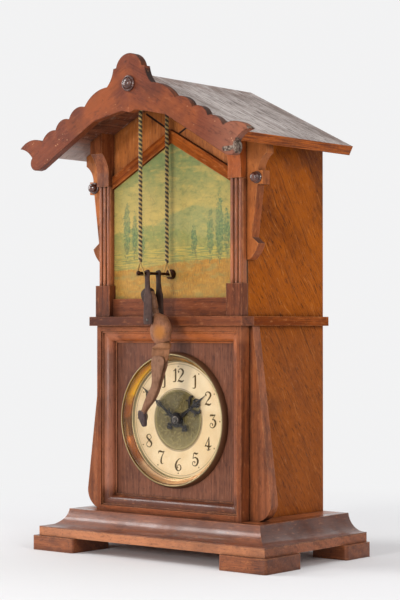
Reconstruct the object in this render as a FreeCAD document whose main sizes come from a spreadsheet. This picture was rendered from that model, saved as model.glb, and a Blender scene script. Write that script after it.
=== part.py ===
import FreeCAD, Part
import math
import os
import re

import Sketcher

# Table clock in the shape of a gabled house, with an acrobat on a trapeze in front of its niche.
# X runs to the right seen from the front, Y to the back, Z up. The origin is on the surface that the
# clock stands on, under the middle of its whole length and depth.

V = FreeCAD.Vector
doc = FreeCAD.newDocument("TableClock")
sheet = doc.addObject("Spreadsheet::Sheet", "Sizes")

# Driving sizes in millimetres. Slopes are rise over run, and angles are in degrees.
SIZES = {
    # base
    "foot_height": 11.3,
    "foot_front": 44.0,
    "foot_rear": 33.0,
    "foot_overhang": 4.0,
    "foot_round": 2.5,
    "base_width": 226.6,
    "base_depth": 131.3,
    "fascia_height": 6.6,
    "cove_run": 17.0,
    "cove_height": 14.5,
    "cove_back": 8.0,
    "cove_lip": 0.8,
    # lower stage
    "case_width": 146.0,
    "case_depth": 107.0,
    "lower_height": 146.6,
    "side_inset": 1.0,
    "side_thick": 8.0,
    "frame_thick": 10.0,
    "frame_flat": 4.3,
    "moulding_width": 9.0,
    "moulding_lip": 1.2,
    "panel_thick": 5.0,
    "wing_thick": 8.5,
    "lower_wing_set": 0.7,
    "lower_wing_top": 3.5,
    "lower_wing_foot": 20.6,
    "lower_wing_round": 12.0,
    # belt
    "belt_thick": 7.2,
    "belt_overhang": 4.4,
    "shelf_gap": 14.0,
    # upper stage
    "upper_height": 184.8,
    "board_thick": 3.3,
    "plinth_width": 14.8,
    "plinth_height": 24.8,
    "plinth_thick": 7.3,
    "plinth_overhang": 1.0,
    "pilaster_width": 12.4,
    "pilaster_thick": 5.5,
    "pilaster_height": 79.0,
    "reed_rise": 1.5,
    "reed_gap": 0.6,
    "corbel_foot": 7.0,
    "corbel_reach": 15.0,
    "corbel_curve": 25.5,
    "rail_height": 14.2,
    "rail_thick": 3.0,
    "gable_apex": 135.2,
    "gable_slope": 0.555,
    "trim_height": 10.0,
    "trim_thick": 3.0,
    "upper_wing_set": 0.5,
    "wing_head": 19.5,
    "wing_head_drop": 8.2,
    "wing_neck": 11.9,
    "wing_lug": 15.6,
    "lug_height": 10.2,
    "lug_level": 103.8,
    "wing_waist": 5.7,
    "waist_level": 59.2,
    "wing_spur": 11.8,
    "spur_level": 54.4,
    "wing_tail_level": 42.5,
    # roof
    "roof_depth": 144.8,
    "roof_slope": 0.506,
    "roof_thick": 7.6,
    "eave_overhang": 28.0,
    "barge_thick": 6.5,
    "crest_rise": 14.0,
    "crest_half": 12.9,
    "crest_shoulder": 22.3,
    "tail_set": 10.0,
    "lobe_rise": 4.2,
    "arch_half": 36.0,
    # turned buttons
    "button_height": 5.5,
    "button_radius": 6.0,
    "crest_button_drop": 9.0,
    "wing_button_radius": 4.6,
    # back
    "door_thick": 6.0,
    "door_inset": 4.0,
    "door_gap": 0.6,
    "door_top_level": 120.0,
    "hinge_length": 24.0,
    "hinge_width": 14.0,
    "hinge_leaf": 0.9,
    "hinge_knuckle": 1.5,
    "hinge_pin": 0.8,
    "hinge_set": 30.0,
    "knob_radius": 4.5,
    # dial
    "dial_height": 73.4,
    "bezel_radius": 53.0,
    "bezel_rise": 5.7,
    "bezel_wall": 1.2,
    "bezel_width": 8.0,
    "dial_recess": 3.9,
    "dial_thick": 0.8,
    "dial_centre_radius": 23.6,
    "centre_thick": 0.5,
    "glass_thick": 1.0,
    "hour_gap": 10.5,
    "minute_gap": 2.4,
    "hand_thick": 0.6,
    "hour_angle": 55.5,
    "minute_angle": 306.0,
    # clock movement
    "barrel_angle": -50.0,
    "third_angle": 120.0,
    "escape_angle": 165.0,
    "plate_margin": 16.6,
    "plate_thick": 2.0,
    "plate_gap": 30.0,
    "plate_set": 11.7,
    "pillar_inset": 5.0,
    "pillar_radius": 2.5,
    "arbor_radius": 1.2,
    "pivot_radius": 0.9,
    "winding_radius": 1.6,
    "running_fit": 0.05,
    "train_module": 0.6,
    "drive_module": 0.8,
    "cannon_module": 0.5,
    "hour_module": 0.4,
    "backlash": 0.16,
    "drum_radius": 15.5,
    "pendulum_length": 77.0,
    "bob_radius": 11.0,
    # trapeze
    "bar_height": 32.8,
    "bar_radius": 1.1,
    "bar_reach": 41.4,
    "collar_radius": 3.8,
    "rope_radius": 1.6,
    "rope_front_reach": 37.5,
    "rope_rear_reach": 6.5,
    "stirrup_height": 8.5,
    "stirrup_half": 4.2,
    "wire_radius": 0.5,
    "hook_radius": 2.4,
    # acrobat
    "figure_reach": 23.7,
    "arm_spacing": 12.2,
    "arm_thick": 1.6,
    "trunk_thick": 9.4,
    "pelvis_thick": 1.8,
    "leg_thick": 2.2,
    "shoulder_drop": 36.4,
    "shoulder_x": 2.0,
    "hip_drop": 66.5,
    "hip_x": 9.0,
    "figure_pin": 0.9,
}

# Places worked out from the sizes, as formulas of their names.
PLACES = {
    "back_face": "(roof_depth + barge_thick + button_height) / 2",
    "base_face": "back_face - base_depth",
    "frame_face": "back_face - case_depth",
    "panel_face": "frame_face + frame_thick",
    "panel_back": "panel_face + panel_thick",
    "board_face": "panel_face - board_thick",
    "roof_front": "back_face - roof_depth",
    "barge_face": "roof_front - barge_thick",
    "slab_top": "foot_height + fascia_height",
    "base_top": "slab_top + cove_height",
    "belt_bottom": "base_top + lower_height",
    "belt_top": "belt_bottom + belt_thick",
    "ridge_top": "belt_top + upper_height",
    "base_half": "base_width / 2",
    "cove_width": "cove_back + cove_run",
    "case_half": "case_width / 2",
    "side_face": "case_half - side_inset",
    "side_inner": "side_face - side_thick",
    "pilaster_inner": "case_half - pilaster_width",
    "plinth_outer": "case_half + plinth_overhang",
    "plinth_inner": "plinth_outer - plinth_width",
    "plinth_top": "belt_top + plinth_height",
    "pilaster_top": "plinth_top + pilaster_height",
    "eave_half": "case_half + eave_overhang",
    "eave_top": "ridge_top - roof_slope * eave_half",
    "slant": "sqrt(1 + roof_slope ^ 2)",
    "roof_drop": "roof_thick * slant",
    "trim_apex": "belt_top + gable_apex",
    "trim_middle": "trim_apex + trim_height / 2",
    "lug_middle": "belt_top + lug_level",
    "crest_button_z": "ridge_top - crest_button_drop",
    "door_face": "back_face - door_inset",
    "door_inner": "door_face - door_thick",
    "door_top": "belt_top + door_top_level",
    "hinge_x": "-side_inner + hinge_knuckle + 0.3",
    "hinge_y": "door_face + hinge_knuckle + 0.3",
    "dial_z": "base_top + dial_height",
    "dial_radius": "bezel_radius - bezel_width",
    "hour_length": "dial_radius - hour_gap",
    "minute_length": "dial_radius - minute_gap",
    "dial_face": "panel_face + dial_recess",
    "panel_hole": "dial_radius + 4",
    "train_reach": "-train_module * 30 * (cos(third_angle) + cos(escape_angle))",
    "plate_half": "train_reach + plate_margin",
    "plate_face": "panel_face + plate_set",
    "train_front": "plate_face + plate_thick",
    "train_back": "train_front + plate_gap",
    "bar_z": "belt_top + bar_height",
    "bracket_front": "panel_face",
    "bracket_back": "panel_face + 28",
    "figure_y": "board_face - figure_reach",
}

for row, (name, value) in enumerate(SIZES.items(), 1):
    sheet.set(f"A{row}", name)
    sheet.set(f"B{row}", str(value))
    sheet.setAlias(f"B{row}", name)
doc.recompute()

SIDES = (("left", -1), ("right", 1))


def ex(formula):
    """The document expression for a formula of size and place names."""

    def replace(match):
        word = match[0]
        if word in SIZES:
            return "Sizes." + word
        if word in PLACES:
            return "(" + ex(PLACES[word]) + ")"
        return word

    return re.sub(r"[a-z_]+", replace, str(formula))


def num(formula):
    """The value of a formula in the sheet as it stands."""
    return float(sheet.evalExpression(ex(formula)))


def under(x):
    """The height of the roof's underside at a distance from the middle."""
    return f"(ridge_top - roof_drop - roof_slope * ({x}))"


def span(sign, inner, outer):
    """The low and high X of a piece between two distances from the middle, on one side."""
    return (inner, outer) if sign > 0 else (f"-({outer})", f"-({inner})")


def block(label, x, y, z):
    """A box between pairs of places along X, Y and Z."""
    made = doc.addObject("Part::Box", label)
    made.Label = label
    for side, axis, (low, high) in (("Length", "x", x), ("Width", "y", y), ("Height", "z", z)):
        made.setExpression(side, ex(f"({high}) - ({low})"))
        made.setExpression(f"Placement.Base.{axis}", ex(low))
    return made


def rod(label, x, z, y, radius):
    """A round bar along Y between two places."""
    made = doc.addObject("Part::Cylinder", label)
    made.Label = label
    low, high = y
    made.Placement.Rotation = FreeCAD.Rotation(V(1, 0, 0), -90)
    made.setExpression("Radius", ex(radius))
    made.setExpression("Height", ex(f"({high}) - ({low})"))
    for axis, place in (("x", x), ("y", low), ("z", z)):
        made.setExpression(f"Placement.Base.{axis}", ex(place))
    return made


def bind(sketch, kind, ends, formula):
    """A dimension of the sketch that follows a formula."""
    index = sketch.addConstraint(Sketcher.Constraint(kind, *ends, num(formula)))
    if isinstance(formula, str):
        sketch.setExpression(f"Constraints[{index}]", ex(formula))


def draw(sketch, loop):
    """A closed outline: corners, with a ("via", u, v) entry where the edge to the next corner is an arc."""
    if loop[0] == "circle":
        place = V(num(loop[1]), num(loop[2]), 0)
        index = sketch.addGeometry(Part.Circle(place, V(0, 0, 1), num(loop[3])))
        bind(sketch, "DistanceX", (-1, 1, index, 3), loop[1])
        bind(sketch, "DistanceY", (-1, 1, index, 3), loop[2])
        bind(sketch, "Radius", (index,), loop[3])
        return
    edges = []
    vias = {}
    for point in loop:
        if point[0] == "via":
            edges[-1][1] = V(num(point[1]), num(point[2]), 0)
            vias[len(edges) - 1] = point[1:]
        else:
            edges.append([point, None])
    corners = [V(num(u), num(v), 0) for (u, v), _ in edges]
    count = len(edges)
    ends = []
    for i, (_, middle) in enumerate(edges):
        first, last = corners[i], corners[(i + 1) % count]
        clockwise = middle and (middle - first).cross(last - middle).z < 0
        if clockwise:
            curve = Part.Arc(last, middle, first)
        else:
            curve = Part.Arc(first, middle, last) if middle else Part.LineSegment(first, last)
        index = sketch.addGeometry(curve)
        ends.append((index, 2, 1) if clockwise else (index, 1, 2))
    for i, (_, middle) in enumerate(edges):
        if middle:
            point = sketch.addGeometry(Part.Point(middle), True)
            bind(sketch, "DistanceX", (-1, 1, point, 1), vias[i][0])
            bind(sketch, "DistanceY", (-1, 1, point, 1), vias[i][1])
            sketch.addConstraint(Sketcher.Constraint("PointOnObject", point, 1, ends[i][0]))
    for i, ((u, v), _) in enumerate(edges):
        index, start, stop = ends[i]
        following, following_start, _ = ends[(i + 1) % count]
        sketch.addConstraint(Sketcher.Constraint("Coincident", index, stop, following, following_start))
        bind(sketch, "DistanceX", (-1, 1, index, start), u)
        bind(sketch, "DistanceY", (-1, 1, index, start), v)


def sketch_on(body, plane, loops):
    """A sketch of the loops on one of the body's own planes."""
    sketch = body.newObject("Sketcher::SketchObject", body.Name + "_outline")
    base = [o for o in body.Origin.OriginFeatures if o.Role == plane + "_Plane"][0]
    sketch.AttachmentSupport = [(base, "")]
    sketch.MapMode = "FlatFace"
    for loop in loops:
        draw(sketch, loop)
    return sketch


def prism(label, plane, loops, low, high):
    """A body padded from outlines on a plane, between two places along the plane's axis."""
    body = doc.addObject("PartDesign::Body", label)
    body.Label = label
    sketch = sketch_on(body, plane, loops)
    offset = f"-({high})" if plane == "XZ" else low
    sketch.setExpression("AttachmentOffset.Base.z", ex(offset))
    pad = body.newObject("PartDesign::Pad", label + "_pad")
    pad.Profile = sketch
    pad.setExpression("Length", ex(f"({high}) - ({low})"))
    sketch.Visibility = False
    return body


def turned(label, loop, x, y, z):
    """A body turned about an axis along Y: the outline gives radius and distance towards the front."""
    body = doc.addObject("PartDesign::Body", label)
    body.Label = label
    sketch = sketch_on(body, "XZ", [loop])
    turn = body.newObject("PartDesign::Revolution", label + "_turn")
    turn.Profile = sketch
    turn.ReferenceAxis = (sketch, ["V_Axis"])
    turn.Angle = 360
    body.Placement.Rotation = FreeCAD.Rotation(V(1, 0, 0), 90)
    for axis, place in (("x", x), ("y", y), ("z", z)):
        body.setExpression(f"Placement.Base.{axis}", ex(place))
    return body


def round_edges(body, direction, radius):
    """Rounds the body's edges that run along a direction."""
    doc.recompute()
    base = body.Tip
    names = []
    for i, edge in enumerate(base.Shape.Edges, 1):
        if len(edge.Vertexes) == 2 and edge.tangentAt(edge.FirstParameter).cross(direction).Length < 1e-6:
            names.append(f"Edge{i}")
    fillet = body.newObject("PartDesign::Fillet", body.Name + "_round")
    fillet.Base = (base, names)
    fillet.setExpression("Radius", ex(radius))
    return body


def boolean(kind, label, base, tool):
    """A cut or common of two objects."""
    made = doc.addObject("Part::" + kind, label)
    made.Label = label
    made.Base = base
    made.Tool = tool
    return made


def fuse(label, shapes):
    made = doc.addObject("Part::MultiFuse", label)
    made.Label = label
    made.Shapes = shapes
    return made


def group(label, links):
    """Several separate solids that share a node."""
    made = doc.addObject("Part::Compound", label)
    made.Label = label
    made.Links = links
    return made


def feature(label, shape):
    """A piece whose solid comes from a formula."""
    made = doc.addObject("Part::Feature", label)
    made.Label = label
    made.Shape = shape
    return made


# Base: feet, base board and cove moulding


def feet():
    solids = []
    outer = "base_half + foot_overhang"
    rows = (
        ("front", "foot_front", "base_face - foot_overhang", "base_face - foot_overhang + foot_front"),
        ("rear", "foot_rear", "back_face - foot_rear", "back_face"),
    )
    for row, size, near, far in rows:
        for side, sign in SIDES:
            low, high = span(sign, f"{outer} - {size}", outer)
            loop = [(low, near), (high, near), (high, far), (low, far)]
            foot = prism(f"foot_{row}_{side}", "XY", [loop], "0", "foot_height")
            solids.append(round_edges(foot, V(0, 0, 1), "foot_round"))
    return [group("feet", solids)]


def base_board():
    slab = block(
        "base_slab", ("-base_half", "base_half"), ("base_face", "back_face"), ("foot_height", "slab_top")
    )
    half = "base_half - cove_width"
    step = block(
        "base_step", (f"-({half})", half), ("base_face + cove_width", "back_face"), ("slab_top", "base_top")
    )
    return [fuse("base_board", [slab, step])]


def cove_profile(outer, direction):
    """Section of the cove, with its outer bottom edge at a place and its depth along a direction."""

    def at(inward):
        return f"{outer} {direction} ({inward})"

    bend = "cove_run * (1 - sqrt(0.5))"
    rise = "(cove_height - 2 * cove_lip)"
    return [
        (at("0"), "slab_top"),
        (at("0"), "slab_top + cove_lip"),
        ("via", at(f"cove_run - {bend}"), f"slab_top + cove_lip + {rise} * (1 - sqrt(0.5))"),
        (at("cove_run"), "base_top - cove_lip"),
        (at("cove_run"), "base_top"),
        (at("cove_width"), "base_top"),
        (at("cove_width"), "slab_top"),
    ]


def base_coves():
    inner = "base_half - cove_width"
    near, deep = "base_face", "base_face + cove_width"
    length = prism("cove_front_length", "YZ", [cove_profile(near, "+")], "-base_half", "base_half")
    plan = [("-base_half", near), ("base_half", near), (inner, deep), (f"-({inner})", deep)]
    ends = prism("cove_front_mitres", "XY", [plan], "slab_top", "base_top")
    pieces = [boolean("Common", "base_cove_front", length, ends)]
    for side, sign in SIDES:
        outer, towards = ("base_half", "-") if sign > 0 else ("-base_half", "+")
        inside = f"{outer} {towards} cove_width"
        length = prism(f"cove_{side}_length", "XZ", [cove_profile(outer, towards)], near, "back_face")
        plan = [(outer, near), (outer, "back_face"), (inside, "back_face"), (inside, deep)]
        ends = prism(f"cove_{side}_mitre", "XY", [plan], "slab_top", "base_top")
        pieces.append(boolean("Common", f"base_cove_{side}", length, ends))
    return [group("base_cove", pieces)]


# Lower stage: sides, front frame with its moulding, dial panel and wings


def side_panels():
    pieces = []
    for side, sign in SIDES:
        inner, outer = f"{sign} * side_inner", f"{sign} * side_face"
        loop = [
            (inner, "base_top"),
            (outer, "base_top"),
            (outer, under("side_face")),
            (inner, under("side_inner")),
        ]
        pieces.append(prism(f"side_panel_{side}", "XZ", [loop], "panel_face", "back_face"))
    return pieces


def rectangle(half, low, high):
    return [(f"-({half})", low), (half, low), (half, high), (f"-({half})", high)]


def front_frame():
    inner = rectangle("case_half - frame_flat", "base_top + frame_flat", "belt_bottom - frame_flat")
    loops = [rectangle("case_half", "base_top", "belt_bottom"), inner]
    return [prism("front_frame", "XZ", loops, "frame_face", "panel_face")]


def moulding_profile(edge, towards):
    """Section of the frame moulding, from the frame's inner edge towards the panel: across, then depth."""

    def at(inward):
        return f"{edge} {towards} ({inward})"

    return [
        (at("0"), "panel_face"),
        (at("0"), "frame_face + moulding_lip"),
        (at("moulding_lip"), "frame_face + moulding_lip"),
        (at("moulding_lip"), "frame_face + 2 * moulding_lip"),
        ("via", at("moulding_width * 0.62"), "frame_face + frame_thick * 0.36"),
        (at("moulding_width - moulding_lip"), "panel_face - moulding_lip"),
        (at("moulding_width"), "panel_face - moulding_lip"),
        (at("moulding_width"), "panel_face"),
    ]


def frame_moulding():
    half = "case_half - frame_flat"
    low, high = "base_top + frame_flat", "belt_bottom - frame_flat"
    inset = "moulding_width"
    pieces = []
    for side, sign in SIDES:
        edge, towards = (half, "-") if sign > 0 else (f"-({half})", "+")
        length = prism(f"moulding_{side}_length", "XY", [moulding_profile(edge, towards)], low, high)
        inner = f"{edge} {towards} {inset}"
        plan = [(edge, low), (edge, high), (inner, f"{high} - {inset}"), (inner, f"{low} + {inset}")]
        ends = prism(f"moulding_{side}_mitres", "XZ", [plan], "frame_face", "panel_face")
        pieces.append(boolean("Common", f"moulding_{side}", length, ends))
    for name, edge, towards in (("bottom", low, "+"), ("top", high, "-")):
        profile = []
        for point in moulding_profile(edge, towards):
            profile.append((point[0], point[2], point[1]) if point[0] == "via" else (point[1], point[0]))
        length = prism(f"moulding_{name}_length", "YZ", [profile], f"-({half})", half)
        inner = f"{edge} {towards} {inset}"
        short = f"{half} - {inset}"
        plan = [(f"-({half})", edge), (half, edge), (short, inner), (f"-({short})", inner)]
        ends = prism(f"moulding_{name}_mitres", "XZ", [plan], "frame_face", "panel_face")
        pieces.append(boolean("Common", f"moulding_{name}", length, ends))
    return [group("frame_moulding", pieces)]


def front_panel():
    loops = [rectangle("side_inner", "base_top", "belt_bottom"), ("circle", "0", "dial_z", "panel_hole")]
    return [prism("front_panel", "XZ", loops, "panel_face", "panel_back")]


def lower_wings():
    pieces = []
    for side, sign in SIDES:
        toe = "side_face + lower_wing_foot"
        heel = f"{toe} - lower_wing_round"
        loop = [
            (f"{sign} * side_face", "base_top"),
            (f"{sign} * ({heel})", "base_top"),
            ("via", f"{sign} * ({toe} - lower_wing_round * 0.25)", "base_top + lower_wing_round * 0.45"),
            (f"{sign} * ({toe})", "base_top + lower_wing_round * 1.4"),
            (f"{sign} * (side_face + lower_wing_top)", "belt_bottom"),
            (f"{sign} * side_face", "belt_bottom"),
        ]
        face = "panel_face + lower_wing_set"
        pieces.append(prism(f"lower_wing_{side}", "XZ", [loop], face, f"{face} + wing_thick"))
    return pieces


# Belt: the divider shelf shows its edge at the front, and a strip carries it along each side


def divider_shelf():
    half, near = "case_half + belt_overhang", "frame_face - belt_overhang"
    back = "back_face - shelf_gap"
    loop = [
        (f"-({half})", near),
        (half, near),
        (half, "panel_face"),
        ("side_inner", "panel_face"),
        ("side_inner", back),
        ("-side_inner", back),
        ("-side_inner", "panel_face"),
        (f"-({half})", "panel_face"),
    ]
    return [prism("divider_shelf", "XY", [loop], "belt_bottom", "belt_top")]


def belt_strips():
    strips = []
    for side, sign in SIDES:
        x = span(sign, "side_face", "case_half + belt_overhang")
        y, z = ("panel_face", "back_face"), ("belt_bottom", "belt_top")
        strips.append(block(f"belt_strip_{side}", x, y, z))
    return [group("belt_strips", strips)]


# Upper stage: plinth blocks, reeded pilasters, corbels, wings, niche and gable


def plinth_blocks():
    blocks = []
    for side, sign in SIDES:
        x = span(sign, "plinth_inner", "plinth_outer")
        y = ("board_face - plinth_thick", "board_face")
        blocks.append(block(f"plinth_block_{side}", x, y, ("belt_top", "plinth_top")))
    return [group("plinth_blocks", blocks)]


def pilasters():
    reeds = 3
    pitch = f"(pilaster_width - reed_gap) / {reeds}"
    root = "board_face - pilaster_thick + reed_rise"
    pieces = []
    for side, sign in SIDES:
        loop = [(f"{sign} * pilaster_inner", "board_face"), (f"{sign} * pilaster_inner", root)]
        for reed in range(reeds):
            start = f"pilaster_inner + reed_gap + {reed} * {pitch}"
            stop = f"pilaster_inner + {reed + 1} * {pitch}"
            loop.append((f"{sign} * ({start})", root))
            loop.append(("via", f"{sign} * ({start} + {stop}) / 2", "board_face - pilaster_thick"))
            loop.append((f"{sign} * ({stop})", root))
        loop.append((f"{sign} * case_half", root))
        loop.append((f"{sign} * case_half", "board_face"))
        pieces.append(prism(f"pilaster_{side}", "XY", [loop], "plinth_top", "pilaster_top"))
    return pieces


def corbels():
    pieces = []
    for side, sign in SIDES:
        high = under("pilaster_inner")
        loop = [
            ("board_face", "pilaster_top"),
            ("board_face - corbel_foot", "pilaster_top"),
            ("board_face - corbel_foot", "pilaster_top + corbel_curve * 0.42"),
            ("via", "board_face - corbel_foot - 2", "pilaster_top + corbel_curve * 0.72"),
            ("board_face - corbel_reach + 0.8", "pilaster_top + corbel_curve"),
            ("board_face - corbel_reach", "pilaster_top + corbel_curve"),
            ("board_face - corbel_reach", high),
            ("board_face", high),
        ]
        low, outer = span(sign, "pilaster_inner", "case_half")
        bracket = prism(f"corbel_{side}_length", "YZ", [loop], low, outer)
        near, far = f"{sign} * pilaster_inner", f"{sign} * case_half"
        slope = [
            (near, "pilaster_top"),
            (far, "pilaster_top"),
            (far, under("case_half")),
            (near, under("pilaster_inner")),
        ]
        room = prism(f"corbel_{side}_slope", "XZ", [slope], "board_face - corbel_reach", "board_face")
        pieces.append(boolean("Common", f"corbel_{side}", bracket, room))
    return pieces


def upper_wings():
    pieces = []
    for side, sign in SIDES:

        def at(out):
            return f"{sign} * (side_face + {out})"

        head_low = f"{under('side_face + wing_head')} - wing_head_drop"
        neck_bend = "wing_neck + (wing_head - wing_neck) * 0.35"
        lug_top, lug_low = "lug_middle + lug_height / 2", "lug_middle - lug_height / 2"
        waist, spur = "belt_top + waist_level", "belt_top + spur_level"
        tail = "belt_top + wing_tail_level"
        loop = [
            (at("0"), under("side_face")),
            (at("wing_head"), under("side_face + wing_head")),
            (at("wing_head"), head_low),
            ("via", at(neck_bend), f"({head_low}) * 0.62 + ({lug_top} + 1.2) * 0.38"),
            (at("wing_neck"), f"{lug_top} + 1.2"),
            (at("wing_neck"), lug_top),
            (at("wing_lug"), lug_top),
            (at("wing_lug"), lug_low),
            (at("wing_neck - 1"), lug_low),
            (at("wing_waist"), waist),
            (at("wing_spur"), spur),
            ("via", at("wing_spur * 0.72"), f"({spur}) * 0.45 + ({tail}) * 0.55"),
            (at("wing_spur * 0.28"), tail),
            (at("0"), tail),
        ]
        face = "board_face + upper_wing_set"
        pieces.append(prism(f"upper_wing_{side}", "XZ", [loop], face, f"{face} + wing_thick"))
    return pieces


def niche_rail():
    x = ("-plinth_inner", "plinth_inner")
    y, z = ("board_face - rail_thick", "board_face"), ("belt_top", "belt_top + rail_height")
    return [block("niche_rail", x, y, z)]


def trim_line(x, start="trim_middle"):
    """The height of a line along the gable trim at a distance from the middle."""
    return f"({start} - gable_slope * ({x}))"


def painted_panel():
    edge = trim_line("side_face")
    outline = [
        ("-side_face", "belt_top"),
        ("side_face", "belt_top"),
        ("side_face", edge),
        ("0", "trim_middle"),
        ("-side_face", edge),
    ]
    hole = ("circle", "0", "bar_z", "bar_radius * 2")
    return [prism("painted_panel", "XZ", [outline, hole], "board_face", "panel_face")]


def gable_board():
    edge = trim_line("side_face")
    outline = [
        ("0", "trim_middle"),
        ("side_face", edge),
        ("side_face", under("side_face")),
        ("0", under("0")),
        ("-side_face", under("side_face")),
        ("-side_face", edge),
    ]
    return [prism("gable_board", "XZ", [outline], "board_face", "panel_face")]


def gable_trims():
    strips = []
    for side, sign in SIDES:
        end = f"{sign} * pilaster_inner"
        upper = "trim_apex + trim_height"
        loop = [
            ("0", "trim_apex"),
            (end, trim_line("pilaster_inner", "trim_apex")),
            (end, trim_line("pilaster_inner", upper)),
            ("0", upper),
        ]
        strips.append(prism(f"gable_trim_{side}", "XZ", [loop], "board_face - trim_thick", "board_face"))
    return [group("gable_trims", strips)]


# Roof: two panels, the scalloped barge board and the turned buttons


def roof_panels():
    pieces = []
    for side, sign in SIDES:
        loop = [
            ("0", "ridge_top"),
            (f"{sign} * eave_half", "eave_top"),
            (f"{sign} * (eave_half - roof_thick * roof_slope / slant)", "eave_top - roof_thick / slant"),
            ("0", under("0")),
        ]
        pieces.append(prism(f"roof_panel_{side}", "XZ", [loop], "roof_front", "back_face"))
    return pieces


def barge_half():
    """Right half of the barge board's outline, from the crest down the lobes, round the tail and back."""

    def on_roof(x, rise):
        return (x, f"ridge_top - roof_slope * ({x}) + {rise}")

    def by_eave(out, up):
        return (f"eave_half + {out}", f"eave_top + {up}")

    tail = "eave_half - tail_set"
    crest_foot = "ridge_top + 3.7"
    points = [
        ("crest_half", crest_foot),
        ("crest_half + 2.8", "ridge_top + 3.3"),
        ("via", "crest_half + 5.3", "ridge_top - 4.5"),
        ("crest_shoulder", "ridge_top - roof_slope * crest_shoulder + 1.3"),
    ]
    shares = (0.0, 0.34, 0.58, 0.79, 1.0)
    rises = (1.0, 1.0, 0.93, 0.62)
    for start, stop, rise in zip(shares, shares[1:], rises):
        first = f"crest_shoulder + {start} * ({tail} - crest_shoulder)"
        last = f"crest_shoulder + {stop} * ({tail} - crest_shoulder)"
        points.append(("via", *on_roof(f"({first}) * 0.42 + ({last}) * 0.58", f"lobe_rise * {rise}")))
        points.append(on_roof(last, "0"))
    points[-1] = by_eave("0 - tail_set", "4.2")
    points += [
        ("via", *by_eave("1.5", "6.1")),
        by_eave("14.3", "-0.3"),
        ("via", *by_eave("6.5", "-3")),
        by_eave("1.2", "-8.1"),
        ("via", *by_eave("2.3", "-14.7")),
        by_eave("-3.5", "-18.2"),
        by_eave("-7.5", "-17.4"),
        on_roof("arch_half", "-16.8"),
        ("via", "arch_half * 0.58", "ridge_top - 31.9"),
        ("6.7", "ridge_top - 29.2"),
    ]
    return points


def mirrored(point):
    if point[0] == "via":
        return ("via", f"-({point[1]})", point[2])
    return (f"-({point[0]})", point[1])


def barge_board():
    right = barge_half()
    left = [mirrored(point) for point in reversed(right)]
    loop = right + [("0", "ridge_top - 31")] + left + [("via", "0", "ridge_top + crest_rise")]
    return [prism("barge_board", "XZ", [loop], "barge_face", "roof_front")]


def button_profile(radius, height):
    """A flat turned foot that carries a domed head: radius, then height."""
    return [
        ("0", "0"),
        (radius, "0"),
        (radius, f"{height} * 0.2"),
        (f"{radius} * 0.78", f"{height} * 0.3"),
        (f"{radius} * 0.78", f"{height} * 0.5"),
        ("via", f"{radius} * 0.56", f"{height} * 0.85"),
        (f"{radius} * 0.2", height),
        ("0", height),
    ]


def turned_buttons():
    profile = button_profile("button_radius", "button_height")
    crest = turned("crest_button", profile, "0", "barge_face", "crest_button_z")
    buttons = [crest]
    face = "board_face + upper_wing_set"
    for side, sign in SIDES:
        x = f"{sign} * (side_face + wing_lug - wing_button_radius - 0.6)"
        profile = button_profile("wing_button_radius", "button_height")
        buttons.append(turned(f"wing_button_{side}", profile, x, face, "lug_middle"))
    return [group("turned_buttons", buttons)]


# Back: fixed gable, rear door, its hinges and knob


def back_gable():
    outline = [
        ("-side_inner", "door_top"),
        ("side_inner", "door_top"),
        ("side_inner", under("side_inner")),
        ("0", under("0")),
        ("-side_inner", under("side_inner")),
    ]
    return [prism("back_gable", "XZ", [outline], "door_inner", "door_face")]


def rear_door():
    half = "side_inner - door_gap"
    z = ("base_top + door_gap", "door_top - door_gap")
    return [block("rear_door", (f"-({half})", half), ("door_inner", "door_face"), z)]


def door_knob():
    profile = [
        ("0", "0"),
        ("knob_radius * 0.2", "0"),
        ("via", "knob_radius * 0.64", "door_inset * 0.13"),
        ("knob_radius", "door_inset * 0.45"),
        ("knob_radius * 0.5", "door_inset * 0.65"),
        ("knob_radius * 0.5", "door_inset"),
        ("0", "door_inset"),
    ]
    return [turned("door_knob", profile, "side_inner - 16", "back_face", "belt_bottom")]


def hinge_levels():
    """Bottom heights of the two hinges."""
    return ("base_top + hinge_set", "door_top - hinge_set - hinge_length")


def pin_bar(label, z, length, radius):
    bar = doc.addObject("Part::Cylinder", label)
    bar.Label = label
    bar.setExpression("Radius", ex(radius))
    bar.setExpression("Height", ex(length))
    for axis, place in (("x", "hinge_x"), ("y", "hinge_y"), ("z", z)):
        bar.setExpression(f"Placement.Base.{axis}", ex(place))
    return bar


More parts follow.
